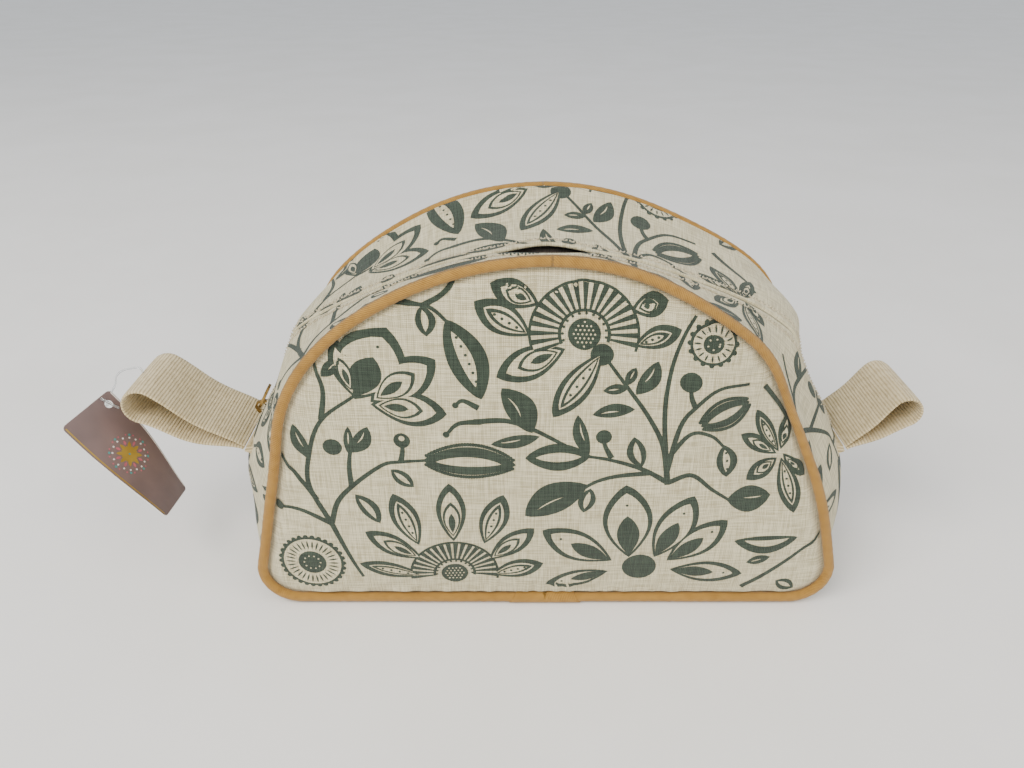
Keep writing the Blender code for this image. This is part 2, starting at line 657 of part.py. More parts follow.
def loop_place(flat, shape, side, y):
    """Puts (along, up) points of a loop where it leaves the bag; side is -1 on the left."""
    along = np.array([side * math.cos(shape["tilt"]), math.sin(shape["tilt"])])
    up = np.array([-side * math.sin(shape["tilt"]), math.cos(shape["tilt"])])
    root = np.array(loop_axis(side))
    flat = np.atleast_2d(flat)
    world = root[[0, 2]] + flat[:, :1] * along + flat[:, 1:] * up
    return np.column_stack([world[:, 0], np.full(len(world), y), world[:, 1]])


def webbing_loop(shape, side):
    """A strip of webbing folded in two, its ends together at the root."""
    outer, inner = loop_outlines(shape)
    low = -WEB_WIDTH / 2
    return washer(loop_place(outer, shape, side, low), loop_place(inner, shape, side, low),
                  (0.0, WEB_WIDTH, 0.0))


def string_root(radius):
    """The place on the left loop's round end where the tag's string is shot through the webbing."""
    far = LEFT_LOOP["length"] - LEFT_LOOP["round"]
    flat = (far + radius * math.cos(STRING_TURN), radius * math.sin(STRING_TURN))
    return loop_place(flat, LEFT_LOOP, -1, 0.0)[0]


def tag_string():
    """A clear filament from the webbing over to the card and through its hole: a smooth tube."""
    start = string_root(LEFT_LOOP["round"] + GAP)
    lean = string_root(LEFT_LOOP["round"] + 0.0030)
    hole, (_, _, face) = np.array(TAG_HOLE), tag_axes()
    route = np.array([start, lean, hole + (0.0086, 0.0055, 0.0150), hole + (0.0034, 0.0070, 0.0112),
                      hole + (0.0008, 0.0080, 0.0056), hole + (-0.0026, 0.0052, 0.0002),
                      hole - 0.0026 * face, hole + (TAG_T / 2 + GAP) * face])
    curve = bpy.data.curves.new("tag_string", "CURVE")
    curve.dimensions = "3D"
    curve.bevel_depth = STRING_R
    curve.bevel_resolution = 2
    curve.use_fill_caps = True
    fine = smooth_route(route, 18)
    spline = curve.splines.new("POLY")
    spline.points.add(len(fine) - 1)
    origin = string_root(LEFT_LOOP["round"] + GAP)
    for point, place in zip(spline.points, fine - origin):
        point.co = (*place, 1.0)
    return curve


def smooth_route(route, count):
    """A Catmull-Rom curve through the route's points, read at even distances."""
    padded = np.concatenate([[2 * route[0] - route[1]], route, [2 * route[-1] - route[-2]]])
    t = np.linspace(0.0, 1.0, 20, endpoint=False)[:, None]
    fine = []
    for a, b, c, d in zip(padded, padded[1:], padded[2:], padded[3:]):
        fine.append(0.5 * (2 * b + (c - a) * t + (2 * a - 5 * b + 4 * c - d) * t ** 2
                           + (3 * b - a - 3 * c + d) * t ** 3))
    fine = np.concatenate(fine + [route[-1:]])
    reach = np.concatenate([[0.0], np.cumsum(np.linalg.norm(np.diff(fine, axis=0), axis=1))])
    even = np.linspace(0.0, reach[-1], count)
    return np.stack([np.interp(even, reach, fine[:, k]) for k in range(3)], axis=1)


def tag_axes():
    """Unit vectors along the card's long side, along its short side, and out of its printed face."""
    long = np.array(TAG_LONG) / np.linalg.norm(TAG_LONG)
    short = np.array(TAG_SHORT) - np.dot(TAG_SHORT, long) * long
    short /= np.linalg.norm(short)
    return long, short, np.cross(short, long)


def tag_card():
    """The card: a rounded rectangle that hangs by a corner, with its hole near that corner."""
    down, across, face = tag_axes()
    low_down, high_down = -TAG_HOLE_INSET[0], TAG_LENGTH - TAG_HOLE_INSET[0]
    low_across, high_across = -TAG_HOLE_INSET[1], TAG_WIDTH - TAG_HOLE_INSET[1]
    outline = []
    for sign_d, sign_a in ((1, 1), (1, -1), (-1, -1), (-1, 1)):
        centre_d = (high_down if sign_d > 0 else low_down) - sign_d * TAG_CORNER
        centre_a = (high_across if sign_a > 0 else low_across) - sign_a * TAG_CORNER
        for share in (0.0, 0.5, 1.0):
            turn = share * math.pi / 2
            outline.append((centre_d + sign_d * TAG_CORNER * math.cos(turn),
                            centre_a + sign_a * TAG_CORNER * math.sin(turn)))
    outline = np.array(outline)
    outline = outline[np.argsort(np.arctan2(outline[:, 1], outline[:, 0]))]
    hole = TAG_HOLE_R * outline / np.linalg.norm(outline, axis=1, keepdims=True)
    back = np.array(TAG_HOLE) - TAG_T / 2 * face
    rings = [back + flat[:, :1] * down + flat[:, 1:] * across for flat in (outline, hole)]
    return washer(rings[0], rings[1], TAG_T * face)


def cross_bar(centre, along, sides=6):
    """A short bar with flat ends, which keeps the string's end from slipping out."""
    along = np.asarray(along, dtype=float) / np.linalg.norm(along)
    helper = np.array([0.0, 1.0, 0.0]) if abs(along[1]) < 0.9 else np.array([1.0, 0.0, 0.0])
    u = np.cross(along, helper)
    u /= np.linalg.norm(u)
    v = np.cross(along, u)
    angle = 2 * math.pi * np.arange(sides) / sides
    ring = BAR_R * (np.cos(angle)[:, None] * u + np.sin(angle)[:, None] * v)
    ends = [np.asarray(centre) + s * BAR_L / 2 * along + ring for s in (-1, 1)]
    return sweep(np.array(ends))


# ---------------------------------------------------------------- the bag
def build():
    clear_scene()
    cloth = finish("printed_linen", (0.42, 0.38, 0.28), 0.9)
    cloth_side = finish("printed_linen_gusset", (0.36, 0.34, 0.25), 0.9)
    piping = finish("mustard_twill", (0.42, 0.25, 0.05), 0.85)
    cord = finish("cotton_cord", (0.75, 0.72, 0.65), 0.9)
    lining = finish("lining_cloth", (0.60, 0.57, 0.48), 0.7)
    binding = finish("binding_tape", (0.30, 0.27, 0.20), 0.9)
    tape = finish("zip_tape", (0.035, 0.028, 0.022), 0.85)
    teeth = finish("zip_teeth", (0.025, 0.020, 0.017), 0.4)
    brass = finish("antique_brass", (0.50, 0.33, 0.12), 0.35, 1.0)
    webbing = finish("cotton_webbing", (0.55, 0.48, 0.33), 0.9)
    card = finish("tag_card", (0.16, 0.12, 0.12), 0.4)
    clear_plastic = finish("clear_filament", (0.8, 0.8, 0.8), 0.15)

    hinge_y = -HALF_DEPTH
    front = axis_empty("front_half_axis", (0.0, hinge_y, PIPE_FLOOR))
    zip_axis = axis_empty("zip_axis", (0.0, 0.0, ZIP_Z), SLIDER_PHI)
    pull_axis = axis_empty("pull_axis", (0.0, 0.0, PULL_AXIS_R), 0.0, zip_axis)
    left_axis = axis_empty("left_loop_axis", loop_axis(-1))
    right_axis = axis_empty("right_loop_axis", loop_axis(1))
    string_axis = axis_empty("tag_string_axis", string_root(LEFT_LOOP["round"] + GAP))
    tag_axis = axis_empty("tag_axis", TAG_HOLE)

    # fixed half of the bag
    solid("base_gusset", *base_strip(0.0, CLOTH_T, EDGE_Y), cloth_side)
    solid("back_zip_gusset", *zip_strip(1), cloth_side)
    for side, name in ((-1, "left"), (1, "right")):
        solid(name + "_zip_end", *zip_end(side), cloth_side)
        solid(name + "_zip_end_tape", *end_tape(side), tape)
        solid(name + "_loop_tab", *loop_tab(side), webbing)
    solid("base_lining", *base_strip(CLOTH_T + 3 * GAP, LINING_T, LINING_HALF, skip=1), lining)
    for side, name in ((-1, "front"), (1, "back")):
        solid(name + "_top_stop", *stop_block(TOP_STOP_PHI, side * STOP_Y[1], side * STOP_Y[0]), brass)
    solid("zip_bottom_stop", *stop_block(BOTTOM_STOP_PHI, -STOP_HALF, STOP_HALF), brass)

    # the two piped panels: the back one is fixed, the front one swings with its half of the zip
    for side, name, axis in ((-1, "front", front), (1, "back", None)):
        face = HALF_DEPTH + PANEL_RISE
        solid(name + "_panel", *dome(BESIDE_PIPING, face, PANEL_T, PANEL_CROWN, side), cloth, axis)
        inner_face = face - PANEL_T - GAP + LINING_FLAT
        solid(name + "_lining", *dome(LINING_INSET, inner_face, LINING_T, PANEL_CROWN - LINING_FLAT,
                                      side, 2), lining, axis)
        solid(name + "_piping", *piping_cover(side), piping, axis)
        solid(name + "_piping_cord", *piping_cord(side), cord, axis)
        solid(name + "_piping_joint", *piping_joint(side), piping, axis)
        solid(name + "_seam_binding", *seam_binding(side), binding, axis)
        solid(name + "_zip_tape", *zip_tape(side), tape, axis)
        solid(name + "_zip_teeth", *zip_teeth(side), teeth, axis)
    solid("front_zip_gusset", *zip_strip(-1), cloth_side, front)

    # slider and pull, in the frame of the zip circle
    solid("zip_slider", *slider_plate(1), brass, zip_axis, True)
    solid("zip_slider_bridge", *slider_bridge(), brass, zip_axis, True)
    solid("zip_slider_keeper", *slider_plate(-1), brass, zip_axis, True)
    solid("zip_pull", *pull_tab(), brass, pull_axis, True)

    # loops
    solid("left_loop", *webbing_loop(LEFT_LOOP, -1), webbing, left_axis)
    solid("right_loop", *webbing_loop(RIGHT_LOOP, 1), webbing, right_axis)

    # tag
    bar_place = string_root(LEFT_LOOP["round"] - WEB_T - GAP - BAR_R)
    solid("tag_string_bar", *cross_bar(bar_place, (0.0, 1.0, 0.0)), clear_plastic, left_axis)
    string = bpy.data.objects.new("tag_string", tag_string())
    string.data.materials.append(clear_plastic)
    string.parent = string_axis
    bpy.context.scene.collection.objects.link(string)
    solid("swing_tag", *tag_card(), card, tag_axis)
    down, across, face = tag_axes()
    paddle = np.array(TAG_HOLE) + (TAG_T / 2 + 2 * GAP + BAR_R) * face
    solid("tag_string_paddle", *cross_bar(paddle, 0.95 * down - 0.31 * across), clear_plastic, tag_axis)


build()
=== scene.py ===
# %% [markdown]
# A piped wash bag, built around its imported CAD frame. The real bag is two arched panels of printed
# linen, a gusset of the same cloth all round them, mustard piping in both seams, a zip hidden under
# two folded lips on top, a loop of webbing at each end of the zip and a swing tag. Cloth, piping
# and print are surfaces worked out with numpy from the same outlines as the CAD solids, so every
# seam meets. The hard pieces, the slider and its pull, stay as the CAD made them.

# %% Load the frame and keep its size
import json
import math
import bmesh
import bpy
import numpy as np
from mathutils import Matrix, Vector


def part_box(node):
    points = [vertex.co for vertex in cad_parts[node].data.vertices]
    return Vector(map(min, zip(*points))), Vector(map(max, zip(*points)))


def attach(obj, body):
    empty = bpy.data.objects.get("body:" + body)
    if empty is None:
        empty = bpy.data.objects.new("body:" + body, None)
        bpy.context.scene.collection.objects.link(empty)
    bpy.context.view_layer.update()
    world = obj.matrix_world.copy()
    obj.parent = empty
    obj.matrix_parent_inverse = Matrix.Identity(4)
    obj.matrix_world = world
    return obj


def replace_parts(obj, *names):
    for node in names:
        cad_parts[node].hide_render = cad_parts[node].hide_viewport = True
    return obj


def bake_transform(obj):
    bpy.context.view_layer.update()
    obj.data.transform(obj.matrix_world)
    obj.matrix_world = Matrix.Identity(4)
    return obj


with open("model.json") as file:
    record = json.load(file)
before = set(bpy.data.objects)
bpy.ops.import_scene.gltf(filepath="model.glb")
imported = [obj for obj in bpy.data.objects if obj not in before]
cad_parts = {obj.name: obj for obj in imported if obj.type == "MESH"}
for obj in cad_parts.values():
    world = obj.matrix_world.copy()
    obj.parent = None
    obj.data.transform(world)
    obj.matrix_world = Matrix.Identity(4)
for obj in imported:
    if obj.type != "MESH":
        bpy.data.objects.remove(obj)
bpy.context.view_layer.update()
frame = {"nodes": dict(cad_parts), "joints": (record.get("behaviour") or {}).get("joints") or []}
JOINTS = {joint["name"]: joint for joint in frame["joints"]}

# %% [markdown]
# Six helpers serve the other cells. One turns an sRGB hex colour to linear light. One adds a shader
# node. One numbers the quads of a grid, and one makes a mesh from arrays of points, quads and flat
# cloth coordinates: those coordinates are in metres, so a weave keeps its real thread spacing
# wherever the cloth goes. One closes two layers of a grid into a thin solid, which is what a piece
# of cloth is. The last eases a value smoothly from 0 to 1.

# %% Helpers
def linear(hex_colour):
    """sRGB hex to linear RGBA: the sRGB curve is a short straight toe, then a power of 2.4."""
    channels = np.array([int(hex_colour[k:k + 2], 16) for k in (0, 2, 4)]) / 255.0
    low = channels / 12.92
    high = ((channels + 0.055) / 1.055) ** 2.4
    return (*np.where(channels <= 0.04045, low, high), 1.0)


def add(tree, kind, inputs=(), **settings):
    """Adds a shader node with its settings; inputs pairs a socket with a value or another's output."""
    node = tree.nodes.new("ShaderNode" + kind)
    for name, value in settings.items():
        setattr(node, name, value)
    for socket, value in dict(inputs).items():
        if isinstance(value, bpy.types.NodeSocket):
            tree.links.new(value, node.inputs[socket])
        else:
            node.inputs[socket].default_value = value
    return node


def grid_quads(rows, columns, wrap_rows=False, wrap_columns=False):
    """Quads of a grid whose points are numbered row by row; wrap joins the last to the first."""
    r, c = np.meshgrid(np.arange(rows if wrap_rows else rows - 1),
                       np.arange(columns if wrap_columns else columns - 1), indexing="ij")
    below, right = (r + 1) % rows, (c + 1) % columns
    corners = [r * columns + c, below * columns + c, below * columns + right, r * columns + right]
    return np.stack(corners, axis=-1).reshape(-1, 4)


def make_piece(name, points, quads, cloth_uv=None, material=None, closed=True):
    """A smooth mesh object at the origin. Closed shells have doubles merged and normals turned out."""
    mesh = bpy.data.meshes.new(name)
    mesh.from_pydata(np.asarray(points, float).tolist(), [], np.asarray(quads, int).tolist())
    if cloth_uv is not None:
        corner = np.zeros(len(mesh.loops), np.int32)
        mesh.loops.foreach_get("vertex_index", corner)
        layer = mesh.uv_layers.new(name="cloth")
        layer.data.foreach_set("uv", np.asarray(cloth_uv, np.float32)[corner].ravel())
    if closed:
        work = bmesh.new()
        work.from_mesh(mesh)
        bmesh.ops.remove_doubles(work, verts=work.verts, dist=1e-6)
        bmesh.ops.dissolve_degenerate(work, edges=work.edges, dist=1e-7)
        bmesh.ops.recalc_face_normals(work, faces=work.faces)
        work.to_mesh(mesh)
        work.free()
    mesh.shade_smooth()
    mesh.set_sharp_from_angle(angle=math.radians(50))
    if material:
        mesh.materials.append(material)
    piece = bpy.data.objects.new(name, mesh)
    bpy.context.scene.collection.objects.link(piece)
    print(f"{name}: {len(mesh.polygons)} faces")
    return piece


def two_layers(outer, inner, wrap_rows=False):
    """Points and quads of the solid between two grids of (rows, columns, 3), its rims closed."""
    rows, columns = outer.shape[:2]
    sheet = grid_quads(rows, columns, wrap_rows)
    number = np.arange(rows * columns).reshape(rows, columns)
    rims = [number[:, 0], number[:, -1]] if wrap_rows else [
        np.concatenate([number[0], number[1:, -1], number[-1, -2::-1], number[-2:0:-1, 0]])]
    sides = [np.stack([rim, np.roll(rim, -1), np.roll(rim, -1) + rows * columns, rim + rows * columns], 1)
             for rim in rims]
    points = np.concatenate([outer.reshape(-1, 3), inner.reshape(-1, 3)])
    return points, np.concatenate([sheet, sheet[:, ::-1] + rows * columns] + sides)


def smoothstep(value):
    """0 below 0, 1 above 1, and a level start and end between."""
    t = np.clip(value, 0.0, 1.0)
    return t * t * (3.0 - 2.0 * t)


# %% [markdown]
# The camera looks down at the front from a little above, like someone at a table. It is made first, with the
# only cord: the clear filament that holds the tag. Its route runs from the CAD's hanging point through points
# listed here to the tag's hole, joined by a smooth curve.

# %% Camera
camera = bpy.data.objects.new("camera", bpy.data.cameras.new("camera"))
bpy.context.scene.collection.objects.link(camera)
camera.data.lens = 28.0
camera.data.clip_start = 0.01
camera.location = (-0.015, -0.322, 0.265)
camera.rotation_euler = (math.radians(61.0), 0.0, 0.0)
bpy.context.scene.camera = camera
print("camera at", tuple(round(x, 3) for x in camera.location))

# %% The tag's string
GAP = 0.0003
STRING_R = 0.00045
TAG_T = 0.0005
string_start = np.array(JOINTS["tag_hang"]["pos_m"])
tag_hole = np.array(JOINTS["tag_swing"]["pos_m"])


def smooth_route(route, count):
    """A Catmull-Rom curve through the route's points, read at even distances."""
    padded = np.concatenate([[2 * route[0] - route[1]], route, [2 * route[-1] - route[-2]]])
    t = np.linspace(0.0, 1.0, 20, endpoint=False)[:, None]
    runs = [0.5 * (2 * b + (c - a) * t + (2 * a - 5 * b + 4 * c - d) * t ** 2
                   + (3 * b - a - 3 * c + d) * t ** 3)
            for a, b, c, d in zip(padded, padded[1:], padded[2:], padded[3:])]
    fine = np.concatenate(runs + [route[-1:]])
    reach = np.concatenate([[0.0], np.cumsum(np.linalg.norm(np.diff(fine, axis=0), axis=1))])
    even = np.linspace(0.0, reach[-1], count)
    return np.stack([np.interp(even, reach, fine[:, k]) for k in range(fine.shape[1])], axis=1)


def tube(line, radius, sides):
    """A round tube along a line: rings stand square to it, turned as little as can be, ends capped."""
    ahead = np.gradient(line, axis=0)
    ahead /= np.linalg.norm(ahead, axis=1, keepdims=True)
    across = np.cross(ahead, np.array([0.15, 1.0, 0.1]))
    across /= np.linalg.norm(across, axis=1, keepdims=True)
    up = np.cross(ahead, across)
    angle = 2 * math.pi * np.arange(sides) / sides
    round_part = np.cos(angle)[None, :, None] * across[:, None] + np.sin(angle)[None, :, None] * up[:, None]
    radius = np.broadcast_to(radius, len(line))[:, None, None]
    rings = line[:, None] + radius * round_part
    rings = np.concatenate([np.repeat(line[:1, None], sides, 1), rings, np.repeat(line[-1:, None], sides, 1)])
    return rings.reshape(-1, 3), grid_quads(len(rings), sides, wrap_columns=True)


def slanted(tilt):
    """Unit vectors along a left loop that rises by tilt towards its far end, and up from it."""
    return (np.array([-math.cos(tilt), 0.0, math.sin(tilt)]), np.array([math.sin(tilt), 0.0, math.cos(tilt)]))


TAG_LONG = np.array([0.595, -0.094, -0.798]) / np.linalg.norm([0.595, -0.094, -0.798])
TAG_SHORT = np.array([-0.407, -0.890, -0.197])
TAG_SHORT = TAG_SHORT - (TAG_SHORT @ TAG_LONG) * TAG_LONG
TAG_SHORT = TAG_SHORT / np.linalg.norm(TAG_SHORT)
TAG_FACE = np.cross(TAG_SHORT, TAG_LONG)
LEFT_TILT, STRING_TURN = math.radians(26.0), math.radians(35.0)
loop_along, loop_up = slanted(LEFT_TILT)
string_out = math.cos(STRING_TURN) * loop_along + math.sin(STRING_TURN) * loop_up
string_route = np.array([
    string_start, string_start + (0.0030 - GAP) * string_out,
    tag_hole + (0.0086, 0.0055, 0.0150), tag_hole + (0.0034, 0.0070, 0.0112),
    tag_hole + (0.0008, 0.0080, 0.0056), tag_hole + (-0.0026, 0.0052, 0.0002),
    tag_hole - 0.0026 * TAG_FACE, tag_hole + (TAG_T / 2 + GAP) * TAG_FACE])
string_line = smooth_route(string_route, 60)

# %% [markdown]
# The bag's shape comes from two outlines in the XZ plane. The piping follows a three-centred arch
# on a tapered body; the middle of the gusset dips below it on top, where the zip runs on a true
# circle, and bulges past it at the sides. An angle of an outline runs from straight up, clockwise.
# Heights and depths are read from the frame, so the looks follow the solids.

# %% Driving dimensions
PIPE_R = 0.00225
_, pipe_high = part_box("back_piping")
HALF_DEPTH = round((pipe_high.y - PIPE_R), 4)
ARCH_TOP = round(pipe_high.z - PIPE_R, 4)
PIPE_FLOOR = 0.0030
CROWN_R, CROWN_END = 0.128, math.radians(35.0)
SHOULDER_R, SIDE_ANGLE = 0.092, math.radians(76.0)
FOOT_R = 0.016
ZIP_Z = JOINTS["zip_travel"]["pos_m"][2]
ZIP_R = 0.1492
BULGE_R, BULGE_END = 0.066, math.radians(112.0)
SEAM = math.radians(66.0)
EDGE_Y = HALF_DEPTH - 0.0032
EDGE_OUT = 0.0007
CLOTH_T = 0.0018
LIP_EDGE, LENS_HALF, LENS_END = 0.0011, 0.0049, math.radians(9.5)
PANEL_RISE, PANEL_CROWN, PANEL_T = 0.0008, 0.0060, 0.0020
PANEL_MIDDLE = np.array([0.0, 0.078])
CHAIN_R = 0.1440
print(f"half depth {HALF_DEPTH}, arch top {ARCH_TOP}")

# %% The two outlines
def arc(centre, radius, start, end, count):
    """Points (x, z, normal angle) on an arc."""
    angle = np.linspace(start, end, count)
    return np.stack([centre[0] + radius * np.sin(angle), centre[1] + radius * np.cos(angle), angle], 1)


def line(start, end, angle, count):
    """Points on a straight stretch with one normal."""
    t = np.linspace(0.0, 1.0, count)[:, None]
    return np.column_stack([(1 - t) * np.array([start]) + t * np.array([end]), np.full(count, angle)])


def direction(angle):
    """Unit vector (x, z) at an angle from straight up, clockwise."""
    return np.stack([np.sin(angle), np.cos(angle)], axis=-1)


def piping_stretches(count=80):
    """Right half of the piping's centre line: crown, shoulder, side, foot and base."""
    crown_centre = np.array([0.0, ARCH_TOP - CROWN_R])
    shoulder_centre = crown_centre + (CROWN_R - SHOULDER_R) * direction(CROWN_END)
    normal = direction(SIDE_ANGLE)
    along = np.array([math.cos(SIDE_ANGLE), -math.sin(SIDE_ANGLE)])
    side_top = shoulder_centre + SHOULDER_R * normal
    drop = side_top[1] - (PIPE_FLOOR + FOOT_R + FOOT_R * normal[1])
    side_foot = side_top + along * drop / math.sin(SIDE_ANGLE)
    foot_centre = side_foot - FOOT_R * normal
    return [arc(crown_centre, CROWN_R, 0.0, CROWN_END, count),
            arc(shoulder_centre, SHOULDER_R, CROWN_END, SIDE_ANGLE, count),
            line(side_top, side_foot, SIDE_ANGLE, count),
            arc(foot_centre, FOOT_R, SIDE_ANGLE, math.pi, count),
            line((foot_centre[0], PIPE_FLOOR), (0.0, PIPE_FLOOR), math.pi, count)]


def evenly(stations, count):
    """Reads rows of (x, z, ...) again at even distances along their (x, z) line."""
    reach = np.concatenate([[0.0], np.cumsum(np.linalg.norm(np.diff(stations[:, :2], axis=0), axis=1))])
    even = np.linspace(0.0, reach[-1], count)
    return np.stack([np.interp(even, reach, column) for column in stations.T], axis=1)


STRETCHES = piping_stretches()
HALF_LINE = np.concatenate([STRETCHES[0]] + [stretch[1:] for stretch in STRETCHES[1:]])
UPPER = np.concatenate(STRETCHES[:3])
UPPER_PHI = np.arctan2(UPPER[:, 0], UPPER[:, 1] - ZIP_Z)
UPPER_R = np.hypot(UPPER[:, 0], UPPER[:, 1] - ZIP_Z)


def whole_ring(count):
    """The closed centre line of the piping, (x, z, normal angle, distance), at even steps."""
    half = evenly(HALF_LINE, count // 2 + 1)
    mirror = half[-2:0:-1] * np.array([-1.0, 1.0, -1.0])
    ring = np.concatenate([half, mirror])
    step = np.linalg.norm(half[1, :2] - half[0, :2])
    return np.column_stack([ring, step * np.arange(len(ring))])


def gusset_stations():
    """Matched stations from the middle of the top to the middle of the bottom, for the right half:
    edge (x, z), middle (x, z), their normal angles, and how far the section's swell has flattened."""
    phi = np.linspace(0.0, SEAM, 160)
    top_edge = (np.interp(phi, UPPER_PHI, UPPER_R) + EDGE_OUT)[:, None] * direction(phi) + (0.0, ZIP_Z)
    top_middle = ZIP_R * direction(phi) + (0.0, ZIP_Z)
    top = np.column_stack([top_edge, top_middle, phi, phi, np.ones(len(phi))])
    start = float(np.interp(SEAM, UPPER_PHI, UPPER_R)) * direction(SEAM) + (0.0, ZIP_Z)
    edge = np.concatenate([line(start, STRETCHES[2][-1, :2], SIDE_ANGLE, 80), STRETCHES[3][1:],
                           STRETCHES[4][1:]])
    bulge_centre = np.array([0.0, ZIP_Z]) + (ZIP_R - BULGE_R) * direction(SEAM)
    bulge = arc(bulge_centre, BULGE_R, SEAM, BULGE_END, 80)
    foot_r = bulge[-1, 1] / (1.0 + math.cos(BULGE_END))
    foot_centre = bulge[-1, :2] - foot_r * direction(BULGE_END)
    middle = np.concatenate([bulge, arc(foot_centre, foot_r, BULGE_END, math.pi, 80)[1:],
                             line((foot_centre[0], 0.0), (0.0, 0.0), math.pi, 80)[1:]])
    level = np.concatenate([np.ones(80), np.linspace(1.0, 0.3, 79), np.full(79, 0.3)])
    out = edge[:, :2] + EDGE_OUT * direction(edge[:, 2])
    base = np.column_stack([out, middle[:, :2], edge[:, 2], middle[:, 2], level])
    return np.concatenate([top, base[1:]])


STATIONS = gusset_stations()
ALONG = np.concatenate([[0.0], np.cumsum(np.linalg.norm(np.diff(STATIONS[:, 2:4], axis=0), axis=1))])
SEAM_ALONG = ZIP_R * SEAM
print(f"round the gusset: {2000 * ALONG[-1]:.0f} mm, seams {1000 * SEAM_ALONG:.0f} mm from the top")

# %% [markdown]
# A filled cloth bag is never the shape of its pattern. One field of small moves, made of smooth
# bumps, settles every soft point: panels, piping, gusset, print and stitches go through it
# together, so no seam opens. It leaves the zip's ends alone, where the rigid slider parks.

# %% Settling
def bump(points, centre, reach):
    """A smooth hill of height 1 at a centre, with its own reach along each axis."""
    return np.exp(-np.sum(((points - centre) / reach) ** 2, axis=-1))


PUSHES = (       # centre, reach and push of each: front right shoulder, its top, back right, left
    ((0.116, -0.050, 0.110), (0.034, 0.048, 0.036), (-0.0095, 0.0030, -0.0040)),
    ((0.074, -0.050, 0.150), (0.040, 0.045, 0.040), (-0.0005, 0.0000, -0.0055)),
    ((0.114, 0.030, 0.110), (0.044, 0.050, 0.044), (0.0130, 0.0000, 0.0080)),
    ((-0.114, 0.015, 0.112), (0.036, 0.050, 0.034), (-0.0080, 0.0000, 0.0055)),
    ((-0.148, 0.000, 0.038), (0.022, 0.040, 0.026), (0.0045, 0.0000, 0.0000)))


def settle(points):
    """Where soft points of the bag really rest: the sum of a few broad pushes. Those near
    the zip's ends fade out round them, so that the parked slider and the loops stay in their seams."""
    points = np.asarray(points, float)
    fade = smoothstep((points[..., 2] - 0.046) / 0.056)[..., None]
    low = smoothstep((0.058 - points[..., 2]) / 0.022)[..., None]
    from_end = np.linalg.norm(np.stack([np.abs(points[..., 0]) - 0.1300, points[..., 1],
                                        points[..., 2] - 0.0770], -1), axis=-1)
    hold = smoothstep((from_end - 0.013) / 0.030)[..., None]
    moved = points.copy()
    for centre, reach, push in PUSHES:
        move = bump(points, centre, reach)[..., None] * np.array(push)
        moved += move * (low if centre[2] < 0.06 else fade * hold if centre[1] > 0.0 else hold)
    return moved


print("settling: ready")


def flexes(piece):
    """Bakes the piece's placement into its mesh and returns it; no field moves the front half."""
    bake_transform(piece)
    return piece


# %% [markdown]
# The panels are sheets of cloth with thin wadding, pushed out by what the bag holds. Height above
# the seam plane is a parabola of the distance from the panel's middle, 1 at the rim. A tuck takes
# the cloth down into the seam beside the piping. Puckers follow the seam, as wide as a few stitches
# pulled tight, and long shallow waves cross the rest.

# %% The panel's surface
RIM = evenly(HALF_LINE, 400)
RIM_INSET = 0.0015
RIM_FLAT = RIM[:, :2] - RIM_INSET * direction(RIM[:, 2]) - PANEL_MIDDLE
RIM_ANGLE = np.abs(np.arctan2(RIM_FLAT[:, 0], RIM_FLAT[:, 1]))
RIM_REACH = np.hypot(RIM_FLAT[:, 0], RIM_FLAT[:, 1])


def rim_reach(angle):
    """Distance from the panel's middle to its rim, in a direction from straight up."""
    return np.interp(np.abs((angle + math.pi) % (2 * math.pi) - math.pi), RIM_ANGLE, RIM_REACH)


def waves(u, v, seed, lengths, height):
    """Long shallow waves: sines whose crests cross at seeded angles, each as high as height."""
    random = np.random.default_rng(seed)
    total = np.zeros(np.broadcast(u, v).shape)
    for length in lengths:
        angle, start = random.uniform(0.0, math.pi), random.uniform(0.0, 2 * math.pi)
        total += np.sin(2 * math.pi * (u * math.cos(angle) + v * math.sin(angle)) / length + start)
    return height * total


def panel_point(u, v, side, lift=0.0):
    """World points of a panel: u to the right and v up as seen from outside, lift above the cloth."""
    flat_u, flat_v = u - PANEL_MIDDLE[0], v - PANEL_MIDDLE[1]
    angle = np.arctan2(flat_u, flat_v)
    share = np.clip(np.hypot(flat_u, flat_v) / rim_reach(angle), 0.0, 1.0)
    tuck = 0.0024 * smoothstep((share - 0.955) / 0.045)
    to_seam = (1.0 - share) * rim_reach(angle)
    pucker = 0.00035 * np.exp(-((to_seam - 0.006) / 0.005) ** 2)
    pucker = pucker * waves(angle, 0.0 * angle, 5 + side, (0.075, 0.103, 0.062), 0.6)
    soft = waves(u, v, 11 + side, (0.052, 0.071, 0.094, 0.039), 0.00028) * smoothstep(to_seam / 0.02)
    lift = np.where(np.asarray(lift) > 0, lift * (1.0 + 4.0 * smoothstep((share - 0.93) / 0.03)), lift)
    out = HALF_DEPTH + PANEL_RISE + PANEL_CROWN * (1.0 - share ** 2) - tuck + pucker + soft + lift
    return settle(np.stack([-side * u, side * out, v], axis=-1))


def within_panel(u, v, share=0.992):
    """Brings points beyond the seam back to it, so that a print runs off under the piping."""
    flat = np.stack([u, v], axis=-1) - PANEL_MIDDLE
    reach = np.linalg.norm(flat, axis=-1)
    limit = share * rim_reach(np.arctan2(flat[..., 0], flat[..., 1]))
    flat = flat * np.minimum(1.0, limit / np.maximum(reach, 1e-9))[..., None]
    return flat[..., 0] + PANEL_MIDDLE[0], flat[..., 1] + PANEL_MIDDLE[1]


print("the panel's surface: ready")

# %% The gusset's surface
STITCH_IN = 0.0042
TUCK_Y = HALF_DEPTH - 0.0018


